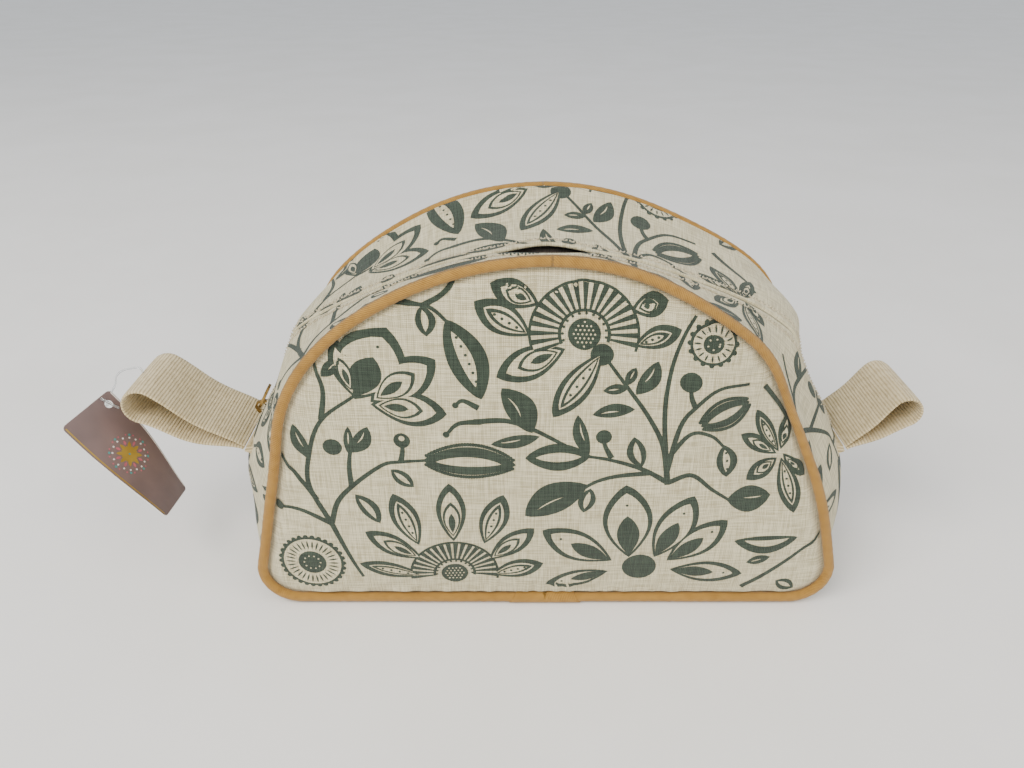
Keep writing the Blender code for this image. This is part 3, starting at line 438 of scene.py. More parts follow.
def lip_edge(phi):
    """How far a lip's edge stands from the middle: closed, but for a lens on top."""
    part = np.clip(np.abs(phi) / LENS_END, 0.0, 1.0)
    return LIP_EDGE + LENS_HALF * np.cos(part * math.pi / 2) ** 2


def gusset_soft(along, y):
    """Small relief of the outer side: a groove where the lips are topstitched, and long waves that die
    out at the piping and over the slider."""
    from_stitch = np.abs(y) - lip_edge(along / ZIP_R) - STITCH_IN
    groove = -0.0005 * np.exp(-(from_stitch / 0.0011) ** 2) * (np.abs(along) < SEAM_ALONG)
    ripple = waves(along, y, 31, (0.047, 0.031, 0.068), 0.00028) * smoothstep((np.abs(y) - 0.0075) / 0.010)
    return (groove + ripple) * smoothstep((TUCK_Y - np.abs(y)) / 0.006)


def gusset_point(along, y, lift=0.0):
    """World points of the gusset: along runs from the middle of the top, clockwise from the front."""
    along, y = np.broadcast_arrays(np.asarray(along, float), np.asarray(y, float))
    edge_x, edge_z, mid_x, mid_z, edge_a, mid_a, level = (
        np.interp(np.abs(along), ALONG, column) for column in STATIONS.T)
    share = 1.0 - (1.0 - np.clip((EDGE_Y - np.abs(y)) / EDGE_Y / level, 0.0, 1.0)) ** 2
    angle = edge_a + (mid_a - edge_a) * share
    near_groove = np.exp(-((np.abs(y) - lip_edge(along / ZIP_R) - STITCH_IN) / 0.0025) ** 2)
    more = np.where((np.asarray(lift) > 0) & (np.asarray(lift) < 0.0004), 2.5 * near_groove, 0.0)
    raised = lift * (1.0 + more) + np.where(np.asarray(lift) > -0.001, 1.0, 0.0) * gusset_soft(along, y)
    x = edge_x + (mid_x - edge_x) * share + raised * np.sin(angle)
    z = edge_z + (mid_z - edge_z) * share + raised * np.cos(angle)
    z = np.where(np.cos(angle) < -0.5, np.maximum(z, 0.0003 - lift), z)
    return settle(np.stack([np.where(along < 0, -x, x), y, z], axis=-1))


print("the gusset's surface: ready")

# %% [markdown]
# Finishes. Linen canvas is a plain weave: each crossing is a small pillow, and warp and weft take
# turns on top, so the weave's height is the size of a sine along one thread times a sine along the
# other, and its sign says which thread shows. Threads differ a little in tone along their length.
# The print soaks into the same cloth, so the ink is the same weave in another colour. Both are painted darker
# where the weave is low, as shade between the pillows.

# %% Woven cloth
def shader_of(name):
    """A new material with its tree and its Principled shader."""
    material = bpy.data.materials.new(name)
    material.use_nodes = True
    tree = material.node_tree
    return material, tree, tree.nodes["Principled BSDF"]


def math_node(tree, operation, first, second=0.0):
    """The output of one Math node."""
    return add(tree, "Math", {0: first, 1: second}, operation=operation).outputs[0]


def mixed(tree, factor, low, high):
    """The output of one colour mix; low and high are colours or sockets."""
    return add(tree, "Mix", {0: factor, 6: low, 7: high}, data_type="RGBA").outputs[2]


def woven(name, thread, shade, pitch, roughness=0.86, depth=0.00022, fuzz=0.25):
    """Plain weave. thread is the tone of the threads on top; shade is painted shade where the weave is low
    between crossings, and also the darker tone of slubs and patches; pitch is in metres.
    """
    material, tree, shader = shader_of(name)
    uv = add(tree, "UVMap", uv_map="cloth").outputs[0]
    u, v, _ = add(tree, "SeparateXYZ", {0: uv}).outputs
    drift = add(tree, "TexNoise", {"Vector": uv, "Scale": 160.0, "Detail": 2.0}).outputs[0]
    wobble = math_node(tree, "MULTIPLY", drift, 1.6)
    rate = math.pi / pitch
    warp = math_node(tree, "SINE", math_node(tree, "ADD", math_node(tree, "MULTIPLY", u, rate), wobble))
    weft = math_node(tree, "SINE", math_node(tree, "ADD", math_node(tree, "MULTIPLY", v, rate), wobble))
    crossing = math_node(tree, "MULTIPLY", warp, weft)
    height = math_node(tree, "POWER", math_node(tree, "ABSOLUTE", crossing), 0.6)
    slubs = []
    for stretch in ((0.06 / pitch, 1.0 / pitch, 0.0), (1.0 / pitch, 0.06 / pitch, 0.0)):
        place = add(tree, "Mapping", {0: uv, "Scale": stretch}).outputs[0]
        slubs.append(add(tree, "TexNoise", {"Vector": place, "Scale": 1.0, "Detail": 1.0}).outputs[0])
    slub = math_node(tree, "ADD", *slubs)
    # Painted shade: the colour darkens where the weave's height is low, between crossings; the slubs add real
    # tone.
    tone = math_node(tree, "ADD", math_node(tree, "MULTIPLY", height, 0.55),
                     math_node(tree, "MULTIPLY", math_node(tree, "SUBTRACT", slub, 1.0), 1.6))
    tone = add(tree, "MapRange", {0: tone, 1: -0.1, 2: 0.7}).outputs[0]
    patch = add(tree, "TexNoise", {"Vector": uv, "Scale": 22.0, "Detail": 3.0}).outputs[0]
    colour = mixed(tree, tone, linear(shade), linear(thread))
    colour = mixed(tree, add(tree, "MapRange", {0: patch, 1: 0.35, 2: 0.75, 4: 0.16}).outputs[0],
                   colour, linear(shade))
    tree.links.new(colour, shader.inputs["Base Color"])
    relief = add(tree, "Bump", {"Strength": 0.9, "Distance": depth, "Height": height})
    tree.links.new(relief.outputs[0], shader.inputs["Normal"])
    rough = add(tree, "MapRange", {0: height, 3: min(1.0, roughness + 0.08), 4: roughness}).outputs[0]
    tree.links.new(rough, shader.inputs["Roughness"])
    shader.inputs["Sheen Weight"].default_value = fuzz
    shader.inputs["Sheen Roughness"].default_value = 0.5
    shader.inputs["Specular IOR Level"].default_value = 0.25
    return material


def ribbed(name, thread, shade, pitch, slant, roughness=0.88, depth=0.00035, fine=0.0007):
    """Ribs across the length, such as webbing's or twill's, painted darker in their hollows as shade. slant
    turns them; fine is the thread pitch.
    """
    material, tree, shader = shader_of(name)
    uv = add(tree, "UVMap", uv_map="cloth").outputs[0]
    u, v, _ = add(tree, "SeparateXYZ", {0: uv}).outputs
    drift = add(tree, "TexNoise", {"Vector": uv, "Scale": 300.0, "Detail": 2.0}).outputs[0]
    leaning = math_node(tree, "ADD", u, math_node(tree, "MULTIPLY", v, slant))
    phase = math_node(tree, "ADD", math_node(tree, "MULTIPLY", leaning, math.pi / pitch),
                      math_node(tree, "MULTIPLY", drift, 1.2))
    rib = math_node(tree, "ABSOLUTE", math_node(tree, "SINE", phase))
    across = math_node(tree, "MULTIPLY", v, math.pi / fine)
    threads = math_node(tree, "ABSOLUTE", math_node(tree, "SINE", across))
    height = math_node(tree, "ADD", rib, math_node(tree, "MULTIPLY", threads, 0.35))
    # Painted shade: the colour darkens low in the ribs and between threads; drift adds real tone.
    tone = math_node(tree, "ADD", math_node(tree, "MULTIPLY", height, 0.6),
                     math_node(tree, "SUBTRACT", drift, 0.5))
    patch = add(tree, "TexNoise", {"Vector": uv, "Scale": 45.0, "Detail": 3.0}).outputs[0]
    colour = mixed(tree, add(tree, "MapRange", {0: tone, 1: 0.05, 2: 0.75}).outputs[0],
                   linear(shade), linear(thread))
    colour = mixed(tree, add(tree, "MapRange", {0: patch, 1: 0.4, 2: 0.75, 4: 0.35}).outputs[0],
                   colour, linear(shade))
    tree.links.new(colour, shader.inputs["Base Color"])
    relief = add(tree, "Bump", {"Strength": 0.9, "Distance": depth, "Height": height})
    tree.links.new(relief.outputs[0], shader.inputs["Normal"])
    tree.links.new(add(tree, "MapRange", {0: height, 3: roughness + 0.08, 4: roughness}).outputs[0],
                   shader.inputs["Roughness"])
    shader.inputs["Sheen Weight"].default_value = 0.2
    shader.inputs["Specular IOR Level"].default_value = 0.25
    return material


# The thread pitch of the real canvas is about 0.75 mm, which only just shows at arm's length.
# The second colour of each cloth is painted shade in its weave or rib hollows, and also the darker tone of
# its slubs and patches.
linen = woven("linen_canvas_plain_weave", "e0d7b4", "b0a682", 0.00075)
ink = woven("pigment_print_on_linen", "3d4a3c", "283228", 0.00075, roughness=0.8, fuzz=0.15)
lining = woven("polycotton_lining_plain_weave", "d8d2c0", "b9b29c", 0.0006, depth=0.0001)
tape_cloth = woven("zip_tape_woven_polyester", "3a3129", "1d1814", 0.0007, depth=0.00015)
binding = ribbed("cotton_binding_tape", "a89b7d", "857a60", 0.0009, 0.0)
mustard = ribbed("cotton_bias_twill_mustard", "a87f3a", "835f28", 0.0011, 1.0, depth=0.00012)
webbing = ribbed("cotton_webbing_natural", "dccba2", "ad9a70", 0.00140, 0.0)
cotton = ribbed("cotton_cord_twisted", "ddd6c6", "b5ad9a", 0.0012, 1.0)
print("cloth finishes made")

# %% [markdown]
# Hard finishes. The slider is die-cast metal with an antique brass plating: a metal whose high
# spots are rubbed brighter. The teeth are moulded polyester, the string and its bars clear nylon,
# the tag is coated card, and the stitches are spun thread.

# %% Metal, plastic, card and thread
def plain_finish(name, colour, shade, roughness, metallic=0.0, grain=900.0, depth=0.00003):
    """A solid finish whose tone and gloss vary over a fine grain, in cycles for each metre."""
    material, tree, shader = shader_of(name)
    place = add(tree, "TexCoord").outputs["Object"]
    noise = add(tree, "TexNoise", {"Vector": place, "Scale": grain, "Detail": 4.0}).outputs[0]
    broad = add(tree, "TexNoise", {"Vector": place, "Scale": grain / 8, "Detail": 2.0}).outputs[0]
    spread = add(tree, "MapRange", {0: broad, 1: 0.35, 2: 0.65}).outputs[0]
    tree.links.new(mixed(tree, spread, linear(shade), linear(colour)), shader.inputs["Base Color"])
    tree.links.new(add(tree, "MapRange", {0: noise, 1: 0.3, 2: 0.7, 3: roughness * 0.8, 4: roughness * 1.25}
                       ).outputs[0], shader.inputs["Roughness"])
    relief = add(tree, "Bump", {"Strength": 0.5, "Distance": depth, "Height": noise})
    tree.links.new(relief.outputs[0], shader.inputs["Normal"])
    shader.inputs["Metallic"].default_value = metallic
    return material


brass = plain_finish("antique_brass_plating_tumbled", "a98a52", "6b5430", 0.34, 1.0, 1400.0)
teeth_plastic = plain_finish("polyester_zip_element_moulded", "3b2f27", "261e19", 0.42)
card = plain_finish("coated_card_printed_mauve", "77625f", "6a5856", 0.38, 0.0, 500.0, 0.00001)
card_edge = plain_finish("card_core_white", "ece8e2", "dcd7cf", 0.7)
gold_print = plain_finish("gold_ink_offset", "b0913a", "9a7c2e", 0.42, 0.35, 800.0, 0.00001)
white_print = plain_finish("white_ink_offset", "e6e0dc", "d6cfca", 0.5, 0.0, 800.0, 0.00001)
pink_print = plain_finish("rose_ink_offset", "b8606b", "a5525e", 0.5, 0.0, 800.0, 0.00001)
teal_print = plain_finish("teal_ink_offset", "4f8f8c", "427f7c", 0.5, 0.0, 800.0, 0.00001)
thread = ribbed("spun_polyester_thread", "d6ccb2", "a89e82", 0.0006, 1.0, depth=0.00008)
nylon = plain_finish("clear_nylon_moulded", "f4f6f6", "eceff0", 0.14)
nylon.node_tree.nodes["Principled BSDF"].inputs["Transmission Weight"].default_value = 0.85
nylon.node_tree.nodes["Principled BSDF"].inputs["IOR"].default_value = 1.53
print("hard finishes made")

# %% Panels
THETA, RINGS = 480, 64


def soft_panel(side, name):
    """Polar grid of a panel: equal steps round the rim, rings closer together near the seam."""
    theta = 2 * math.pi * np.arange(THETA) / THETA
    share = 1.0 - (1.0 - np.linspace(0.0, 1.0, RINGS)) ** 1.25
    theta, share = np.meshgrid(theta, share, indexing="ij")
    reach = share * rim_reach(theta)
    u, v = reach * np.sin(theta) + PANEL_MIDDLE[0], reach * np.cos(theta) + PANEL_MIDDLE[1]
    points, quads = two_layers(panel_point(u, v, side), panel_point(u, v, side, -PANEL_T), wrap_rows=True)
    uv = np.tile(np.stack([u, v], -1).reshape(-1, 2), (2, 1))
    piece = make_piece(name, points, quads, uv, linen)
    return piece


back_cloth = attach(soft_panel(1, "back_cloth"), "bag_back")
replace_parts(back_cloth, "back_panel")
front_cloth = flexes(soft_panel(-1, "front_cloth"))
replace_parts(front_cloth, "front_panel")

# %% [markdown]
# The gusset. Each half of the top is one strip from end seam to end seam: from the piping over to
# the lip, round the lip's fold and back under it to the hem. The base strip runs down one side,
# under the bag and up the other.

# %% Gusset strips
ALONG_STEP = 0.0014


def top_strip(side, name):
    """A folded strip: its section is a closed line that runs out, round the lip and back."""
    along = np.linspace(-SEAM_ALONG, SEAM_ALONG, int(2 * SEAM_ALONG / ALONG_STEP))
    half_t = CLOTH_T / 2
    lip = lip_edge(along / ZIP_R)[:, None]
    over = np.linspace(0.0, 1.0, 40)[None, :]
    upper_y = TUCK_Y + (lip + half_t - TUCK_Y) * over
    fold = np.linspace(0.0, math.pi, 9)[None, 1:-1]
    fold_y = lip + half_t - half_t * np.sin(fold)
    y = np.concatenate([upper_y, fold_y, upper_y[:, ::-1][:, ::2]], axis=1)
    lift = np.concatenate([0.0 * upper_y, half_t * (np.cos(fold) - 1.0) + 0.0 * lip,
                           np.full((len(along), 20), -CLOTH_T)], axis=1)
    rings = gusset_point(along[:, None], side * y, lift)
    rings = np.concatenate([np.repeat(rings[:1, :1], rings.shape[1], 1), rings])
    uv = np.stack(np.broadcast_arrays(along[:, None], side * y), -1)
    uv = np.concatenate([uv[:1], uv])
    return make_piece(name, rings.reshape(-1, 3), grid_quads(*rings.shape[:2], wrap_columns=True),
                      uv.reshape(-1, 2), linen)


FULL_ALONG = 2 * float(ALONG[-1])


def base_cloth():
    """The strip under and beside the bag, a closed shell of the cloth's thickness."""
    along = np.linspace(SEAM_ALONG, FULL_ALONG - SEAM_ALONG, int((FULL_ALONG - 2 * SEAM_ALONG) / ALONG_STEP))
    wrapped = np.where(along > FULL_ALONG / 2, along - FULL_ALONG, along)[:, None]
    y = np.linspace(-TUCK_Y, TUCK_Y, 64)[None, :]
    points, quads = two_layers(gusset_point(wrapped, y), gusset_point(wrapped, y, -CLOTH_T))
    uv = np.stack(np.broadcast_arrays(along[:, None], y), -1).reshape(-1, 2)
    return make_piece("base_cloth", points, quads, np.tile(uv, (2, 1)), linen)


back_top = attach(top_strip(1, "back_top_strip"), "bag_back")
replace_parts(back_top, "back_zip_gusset", "left_zip_end", "right_zip_end")
front_top = flexes(top_strip(-1, "front_top_strip"))
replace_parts(front_top, "front_zip_gusset")
base = flexes(base_cloth())
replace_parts(base, "base_gusset")

# %% [markdown]
# Piping is a bias strip of twill round a cord. The cover shows the cord's twist as a faint
# swelling, and its ends meet under a wrapped sleeve in the middle of the bottom.

# %% Piping
def ring_points(side, radius, count, sides, swell=0.0):
    """A closed tube round the panel: circles square to the centre line, their radius swelling."""
    ring = whole_ring(count)
    distance = ring[:, 3]
    angle = 2 * math.pi * np.arange(sides) / sides
    size = radius * (1.0 + swell * (np.sin(2 * math.pi * distance / 0.0043)[:, None] * np.cos(
        angle[None, :] + distance[:, None] / 0.004) + 0.8 * np.sin(distance / 0.019)[:, None]))
    out = size * np.cos(angle)[None, :]
    deep = size * np.sin(angle)[None, :]
    normal = direction(ring[:, 2])
    x = ring[:, 0, None] + out * normal[:, 0, None]
    z = ring[:, 1, None] + out * normal[:, 1, None]
    y = side * (HALF_DEPTH - deep)
    uv = np.stack(np.broadcast_arrays(distance[:, None], (angle * radius)[None, :]), -1)
    return settle(np.stack([x, y, z], -1)), uv


def piping(side, name):
    """The covered cord, one closed ring."""
    points, uv = ring_points(side, PIPE_R, 720, 16, 0.03)
    quads = grid_quads(*points.shape[:2], wrap_rows=True, wrap_columns=True)
    return make_piece(name, points.reshape(-1, 3), quads, uv.reshape(-1, 2), mustard)


def piping_sleeve(side, name):
    """The wrapped joint: a second turn of cloth 30 mm long, its ends folded in."""
    half, sides = 0.015, 16
    x = half * np.concatenate([[-1.0, -1.0], np.linspace(-0.985, 0.985, 20), [1.0, 1.0]])
    radius = PIPE_R + np.concatenate([[0.0, 0.00025], np.full(20, 0.00045), [0.00025, 0.0]])
    angle = 2 * math.pi * np.arange(sides) / sides
    slant = 0.0016 * np.cos(angle)[None, :] * np.sign(x)[:, None]
    out, deep = radius[:, None] * np.cos(angle), radius[:, None] * np.sin(angle)
    points = np.stack([x[:, None] + slant, side * (HALF_DEPTH - deep), PIPE_FLOOR - out], -1)
    uv = np.stack(np.broadcast_arrays(x[:, None], (angle * PIPE_R)[None, :]), -1)
    quads = grid_quads(len(x), sides, wrap_columns=True)
    return make_piece(name, settle(points).reshape(-1, 3), quads, uv.reshape(-1, 2), mustard)


for side, half, place in ((1, "back", lambda piece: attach(piece, "bag_back")), (-1, "front", flexes)):
    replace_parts(place(piping(side, half + "_piping_cover")), half + "_piping")
    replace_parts(place(piping_sleeve(side, half + "_piping_sleeve")), half + "_piping_joint")

# %% [markdown]
# Pieces that hide inside the bag still show when its mouth is open. Linings and seam bindings have
# the right shape in CAD, so they are copied, their loose triangles joined, their long edges halved
# twice, and settled with the cloth round them. The piping's cords are made again as finer rings.

# %% Inside pieces
def carried(node, material):
    """A finer copy of a CAD node's mesh, settled like the cloth over it."""
    mesh = frame["nodes"][node].data.copy()
    work = bmesh.new()
    work.from_mesh(mesh)
    bmesh.ops.remove_doubles(work, verts=work.verts, dist=1e-6)
    for _ in range(2):
        wide = [edge for edge in work.edges if edge.calc_length() > 0.007]
        bmesh.ops.subdivide_edges(work, edges=wide, cuts=1, use_grid_fill=True)
    bmesh.ops.triangulate(work, faces=work.faces)
    work.to_mesh(mesh)
    work.free()
    points = np.zeros(3 * len(mesh.vertices))
    mesh.vertices.foreach_get("co", points)
    points = points.reshape(-1, 3)
    mesh.vertices.foreach_set("co", settle(points).ravel())
    corner = np.zeros(len(mesh.loops), np.int32)
    mesh.loops.foreach_get("vertex_index", corner)
    for layer in list(mesh.uv_layers):
        mesh.uv_layers.remove(layer)
    angle = np.arctan2(points[:, 0], points[:, 2] - PANEL_MIDDLE[1])
    flat = np.stack([points[:, 0], points[:, 2]], 1) if "lining" in node and "base" not in node else (
        np.stack([0.12 * angle, points[:, 1]], 1))
    mesh.uv_layers.new(name="cloth").data.foreach_set("uv", flat[corner].astype(np.float32).ravel())
    mesh.materials.clear()
    mesh.materials.append(material)
    mesh.update()
    piece = bpy.data.objects.new(node + "_cloth", mesh)
    bpy.context.scene.collection.objects.link(piece)
    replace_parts(piece, node)
    return piece


CORD_R = 0.0014
for side, half, place in ((1, "back", lambda piece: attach(piece, "bag_back")), (-1, "front", flexes)):
    points, uv = ring_points(side, CORD_R, 480, 8, 0.02)
    cord = make_piece(half + "_piping_core", points.reshape(-1, 3),
                      grid_quads(*points.shape[:2], wrap_rows=True, wrap_columns=True),
                      uv.reshape(-1, 2), cotton)
    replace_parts(place(cord), half + "_piping_cord")
for half in ("back", "front"):
    for part, material, slot in (("lining", lining, "lining_cloth"),
                                 ("seam_binding", binding, "binding_tape")):
        piece = carried(f"{half}_{part}", material)
        if half == "front":
            flexes(piece)
        else:
            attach(piece, "bag_back")
flexes(carried("base_lining", lining))
print("inside pieces carried")

# %% [markdown]
# The zip. Each tape lies level under its lip and rises to where it is sewn; a row of moulded teeth grips its
# corded edge. A tooth is a narrow neck with a wider head, and the rows stand half a pitch apart, so heads fit
# between heads.

# %% Zip tapes and teeth
ZIP_FROM, ZIP_TO = math.radians(-59.2), math.radians(57.0)
TOOTH_PITCH = 0.0036


def on_circle(phi, radius, y):
    """Points on circles round the zip's axis, settled with the cloth."""
    phi, radius, y = np.broadcast_arrays(phi, radius, y)
    return settle(np.stack([radius * np.sin(phi), y, ZIP_Z + radius * np.cos(phi)], -1))


def zip_tape(side, name):
    """A tape from its corded edge, across the flat run, up to the underside of its strip."""
    phi = np.linspace(ZIP_FROM, ZIP_TO, 200)[:, None]
    y = np.concatenate([np.linspace(0.0027, 0.0062, 8), np.linspace(0.0068, 0.0172, 14)])[None, :]
    half = np.where(y < 0.0040, 0.0006, 0.0003)
    under = gusset_point(phi * ZIP_R, side * y, -CLOTH_T - 0.0009)
    rise = smoothstep((y - 0.0055) / 0.0075)[..., None]
    middle = (1.0 - rise) * on_circle(phi, CHAIN_R, side * y) + rise * under
    up = np.stack([np.sin(phi), 0.0 * phi, np.cos(phi)], -1) * half[..., None]
    points, quads = two_layers(middle + up, middle - up)
    uv = np.stack(np.broadcast_arrays(phi * CHAIN_R, y), -1).reshape(-1, 2)
    return make_piece(name, points, quads, np.tile(uv, (2, 1)), tape_cloth)


def zip_teeth(side, name):
    """The row of teeth: one small block, its section a soft square, repeated round the circle."""
    step = TOOTH_PITCH / CHAIN_R
    count = int((ZIP_TO - ZIP_FROM) / step)
    first = (ZIP_FROM + ZIP_TO) / 2 - step * (count - 1) / 2 + side * step / 4
    y = np.array([0.0036, 0.0036, 0.0026, 0.0012, 0.0004, -0.0003, -0.0007, -0.0007])
    wide = np.array([0.0, 0.00060, 0.00060, 0.00042, 0.00066, 0.00062, 0.00030, 0.0])
    tall = np.array([0.0, 0.00115, 0.00115, 0.00095, 0.00110, 0.00100, 0.00060, 0.0])
    turn = math.pi / 4 + math.pi / 2 * np.arange(8) / 2
    along = wide[:, None] * np.clip(1.35 * np.cos(turn), -1, 1)
    up = tall[:, None] * np.clip(1.35 * np.sin(turn), -1, 1)
    phi = (first + step * np.arange(count))[:, None, None] + along / CHAIN_R
    points = on_circle(phi, CHAIN_R + up, side * y[:, None])
    one = grid_quads(len(y), 8, wrap_columns=True)
    quads = (one[None] + (len(y) * 8 * np.arange(count))[:, None, None]).reshape(-1, 4)
    return make_piece(name, points.reshape(-1, 3), quads, material=teeth_plastic)


for side, half, place in ((1, "back", lambda piece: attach(piece, "bag_back")), (-1, "front", flexes)):
    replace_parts(place(zip_tape(side, half + "_zip_tape_cloth")), half + "_zip_tape")
    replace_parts(place(zip_teeth(side, half + "_zip_tooth_row")), half + "_zip_teeth")
for node in ("left_zip_end_tape", "right_zip_end_tape"):
    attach(carried(node, tape_cloth), "bag_back")
for node in ("zip_slider", "zip_slider_bridge", "zip_slider_keeper", "zip_pull", "front_top_stop",
             "back_top_stop", "zip_bottom_stop"):
    frame["nodes"][node].data.materials.clear()
    frame["nodes"][node].data.materials.append(brass)

# %% [markdown]
# Webbing loops. Each is one strip, folded in two and sewn into the seam where the zip ends. Its
# section is flat with rounded selvedges, and the ribs run across it. On the left the upper layer
# stays straight and the lower one bellies down.

# %% Webbing loops
WEB_WIDTH, WEB_T, LOOP_ROOT_R = 0.038, 0.0017, 0.0017
LOOPS = {"left": (-1, 0.055, 0.0086, math.radians(26.0), 0.0036, 0.0020),
         "right": (1, 0.036, 0.0076, math.radians(38.0), 0.0012, 0.0010)}


def webbing_loop(half):
    """The strip's middle line runs out along the top, round the end and back below."""
    side, length, end_r, tilt, belly, sag = LOOPS[half]
    root = np.array(JOINTS[half + "_strap_flex"]["pos_m"])
    far, mid_r, root_r = length - end_r, end_r - WEB_T / 2, LOOP_ROOT_R - WEB_T / 2
    spread = math.asin((mid_r - root_r) / far)
    top = np.array([-math.sin(spread), math.cos(spread)])
    round_end = np.linspace(math.pi / 2 + spread, -math.pi / 2 - spread, 60)
    s = np.linspace(0.0, 1.0, 70)[:-1, None]
    upper = (1 - s) * root_r * top + s * (np.array([far, 0.0]) + mid_r * top)
    upper = upper - (sag * np.sin(math.pi * s) ** 2) * top
    lower = upper * (1.0, 0.0) - ((1 - s) * root_r * top + s * mid_r * top) * (0.0, 1.0)
    lower = lower - np.array([[0.0, 1.0]]) * belly * np.sin(math.pi * np.clip(s, 0, 1) ** 0.9) ** 2
    bend = np.array([far, 0.0]) + mid_r * np.stack([np.cos(round_end), np.sin(round_end)], 1)
    inside = np.array([[-0.0014, root_r], [-0.0007, root_r]])      # where it goes on into the seam
    middle = np.concatenate([inside, upper, bend, lower[::-1], inside[::-1] * (1.0, -1.0)])
    ahead = np.gradient(middle, axis=0)
    ahead /= np.linalg.norm(ahead, axis=1, keepdims=True)
    out = np.stack([-ahead[:, 1], ahead[:, 0]], 1)
    reach = np.concatenate([[0.0], np.cumsum(np.linalg.norm(np.diff(middle, axis=0), axis=1))])
    turn = 2 * math.pi * np.arange(28) / 28
    across = WEB_WIDTH / 2 * np.sign(np.cos(turn)) * np.abs(np.cos(turn)) ** 0.35
    thick = WEB_T / 2 * np.sign(np.sin(turn)) * np.abs(np.sin(turn)) ** 0.5
    rib = 1.0 + 0.08 * np.sin(2 * math.pi * reach / 0.0028)
    flat = middle[:, None, :] + (rib[:, None] * thick)[..., None] * out[:, None, :]
    flat = np.concatenate([middle[:1, None] + 0.0 * flat[:1], flat, middle[-1:, None] + 0.0 * flat[:1]])
    wide = np.broadcast_to(across, (len(middle), 28))
    wide = np.concatenate([0.0 * wide[:1], wide, 0.0 * wide[:1]])
    along = np.array([side * math.cos(tilt), math.sin(tilt)])
    up = np.array([-side * math.sin(tilt), math.cos(tilt)])
    place = flat[..., :1] * along + flat[..., 1:] * up
    points = np.stack([root[0] + place[..., 0], wide, root[2] + place[..., 1]], -1)
    reach = np.concatenate([reach[:1], reach, reach[-1:]])
    uv = np.stack(np.broadcast_arrays(reach[:, None], wide), -1).reshape(-1, 2)
    piece = make_piece(half + "_webbing_loop", points.reshape(-1, 3),
                       grid_quads(*points.shape[:2], wrap_columns=True), uv, webbing)
    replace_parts(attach(piece, half + "_strap"), half + "_loop")
    return piece


for half in LOOPS:
    webbing_loop(half)
    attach(carried(half + "_loop_tab", webbing), "bag_back")

# %% [markdown]
# The swing tag: a mauve card with a white core, hung by one corner on a clear filament that was
# shot through the webbing. It is twisted along its length, as thin card is. Its ornament is a plain rosette:
# an eight-pointed star in a ring of dots.

# %% Swing tag
TAG_LENGTH, TAG_WIDTH, TAG_CORNER, TAG_HOLE_R = 0.059, 0.0280, 0.0020, 0.0019
TAG_LOW, TAG_PIVOT = -0.0050, 0.0170


def tag_point(down, across, lift=0.0):
    """A point of the card: down its long side and across from the hole, lifted off its middle."""
    down, across = np.broadcast_arrays(np.asarray(down, float), np.asarray(across, float))
    turn = math.radians(36.0) * smoothstep((down - 0.003) / 0.060)
    arm = across - TAG_PIVOT
    sideways = TAG_PIVOT + arm * np.cos(turn) - lift * np.sin(turn)
    out = arm * np.sin(turn) + lift * np.cos(turn) + 0.0030 * smoothstep((down - 0.003) / 0.060)
    return (tag_hole + down[..., None] * TAG_LONG + sideways[..., None] * TAG_SHORT
            + out[..., None] * TAG_FACE)


def card_outline(count, inset=0.0):
    """Even points round the card's rim, (down, across)."""
    turn = np.linspace(0.0, math.pi / 2, 9)
    middle = np.array([TAG_LOW + TAG_LENGTH / 2, TAG_LOW + TAG_WIDTH / 2])
    half = np.array([TAG_LENGTH, TAG_WIDTH]) / 2 - inset
    quarter = half - TAG_CORNER + TAG_CORNER * np.stack([np.cos(turn), np.sin(turn)], 1)
    ring = np.concatenate([quarter, quarter[::-1] * (-1, 1), -quarter, quarter[::-1] * (1, -1)])
    ring = np.concatenate([ring, ring[:1]])
    reach = np.concatenate([[0.0], np.cumsum(np.linalg.norm(np.diff(ring, axis=0), axis=1))])
    even = np.linspace(0.0, reach[-1], count, endpoint=False)
    return middle + np.stack([np.interp(even, reach, ring[:, k]) for k in (0, 1)], 1)


rim = card_outline(160)
hole_rim = TAG_HOLE_R * rim / np.linalg.norm(rim, axis=1, keepdims=True)
share = np.linspace(0.0, 1.0, 24)[None, :, None] ** 1.3
flat = (1 - share) * hole_rim[:, None] + share * rim[:, None]
points, quads = two_layers(tag_point(flat[..., 0], flat[..., 1], TAG_T / 2),
                           tag_point(flat[..., 0], flat[..., 1], -TAG_T / 2), wrap_rows=True)
tag = make_piece("swing_tag_card", points, quads, material=card)
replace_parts(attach(tag, "tag"), "swing_tag")
band = np.array([-0.5, -0.38, 0.38, 0.5])
outward = rim - (TAG_LOW + TAG_LENGTH / 2, TAG_LOW + TAG_WIDTH / 2)
outward = outward / np.linalg.norm(outward, axis=1, keepdims=True)
core = rim[:, None] + np.array([-0.0001, 0.00006, 0.00006, -0.0001])[None, :, None] * outward[:, None]
points = tag_point(core[..., 0], core[..., 1], (TAG_T + 0.00006) * band)
core_piece = make_piece("swing_tag_core_edge", points.reshape(-1, 3), grid_quads(160, 4, wrap_rows=True),
                        material=card_edge, closed=False)
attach(core_piece, "tag")


def disc(centre, radius, cells=3, turn=0.0, squash=1.0):
    """A round patch: a square grid pressed into a circle, (u, v) points."""
    a, b = np.meshgrid(np.linspace(-1, 1, cells + 1), np.linspace(-1, 1, cells + 1), indexing="ij")
    x, y = radius * a * np.sqrt(1 - b ** 2 / 2), squash * radius * b * np.sqrt(1 - a ** 2 / 2)
    return np.stack([centre[0] + x * math.cos(turn) - y * math.sin(turn),
                     centre[1] + x * math.sin(turn) + y * math.cos(turn)], -1)


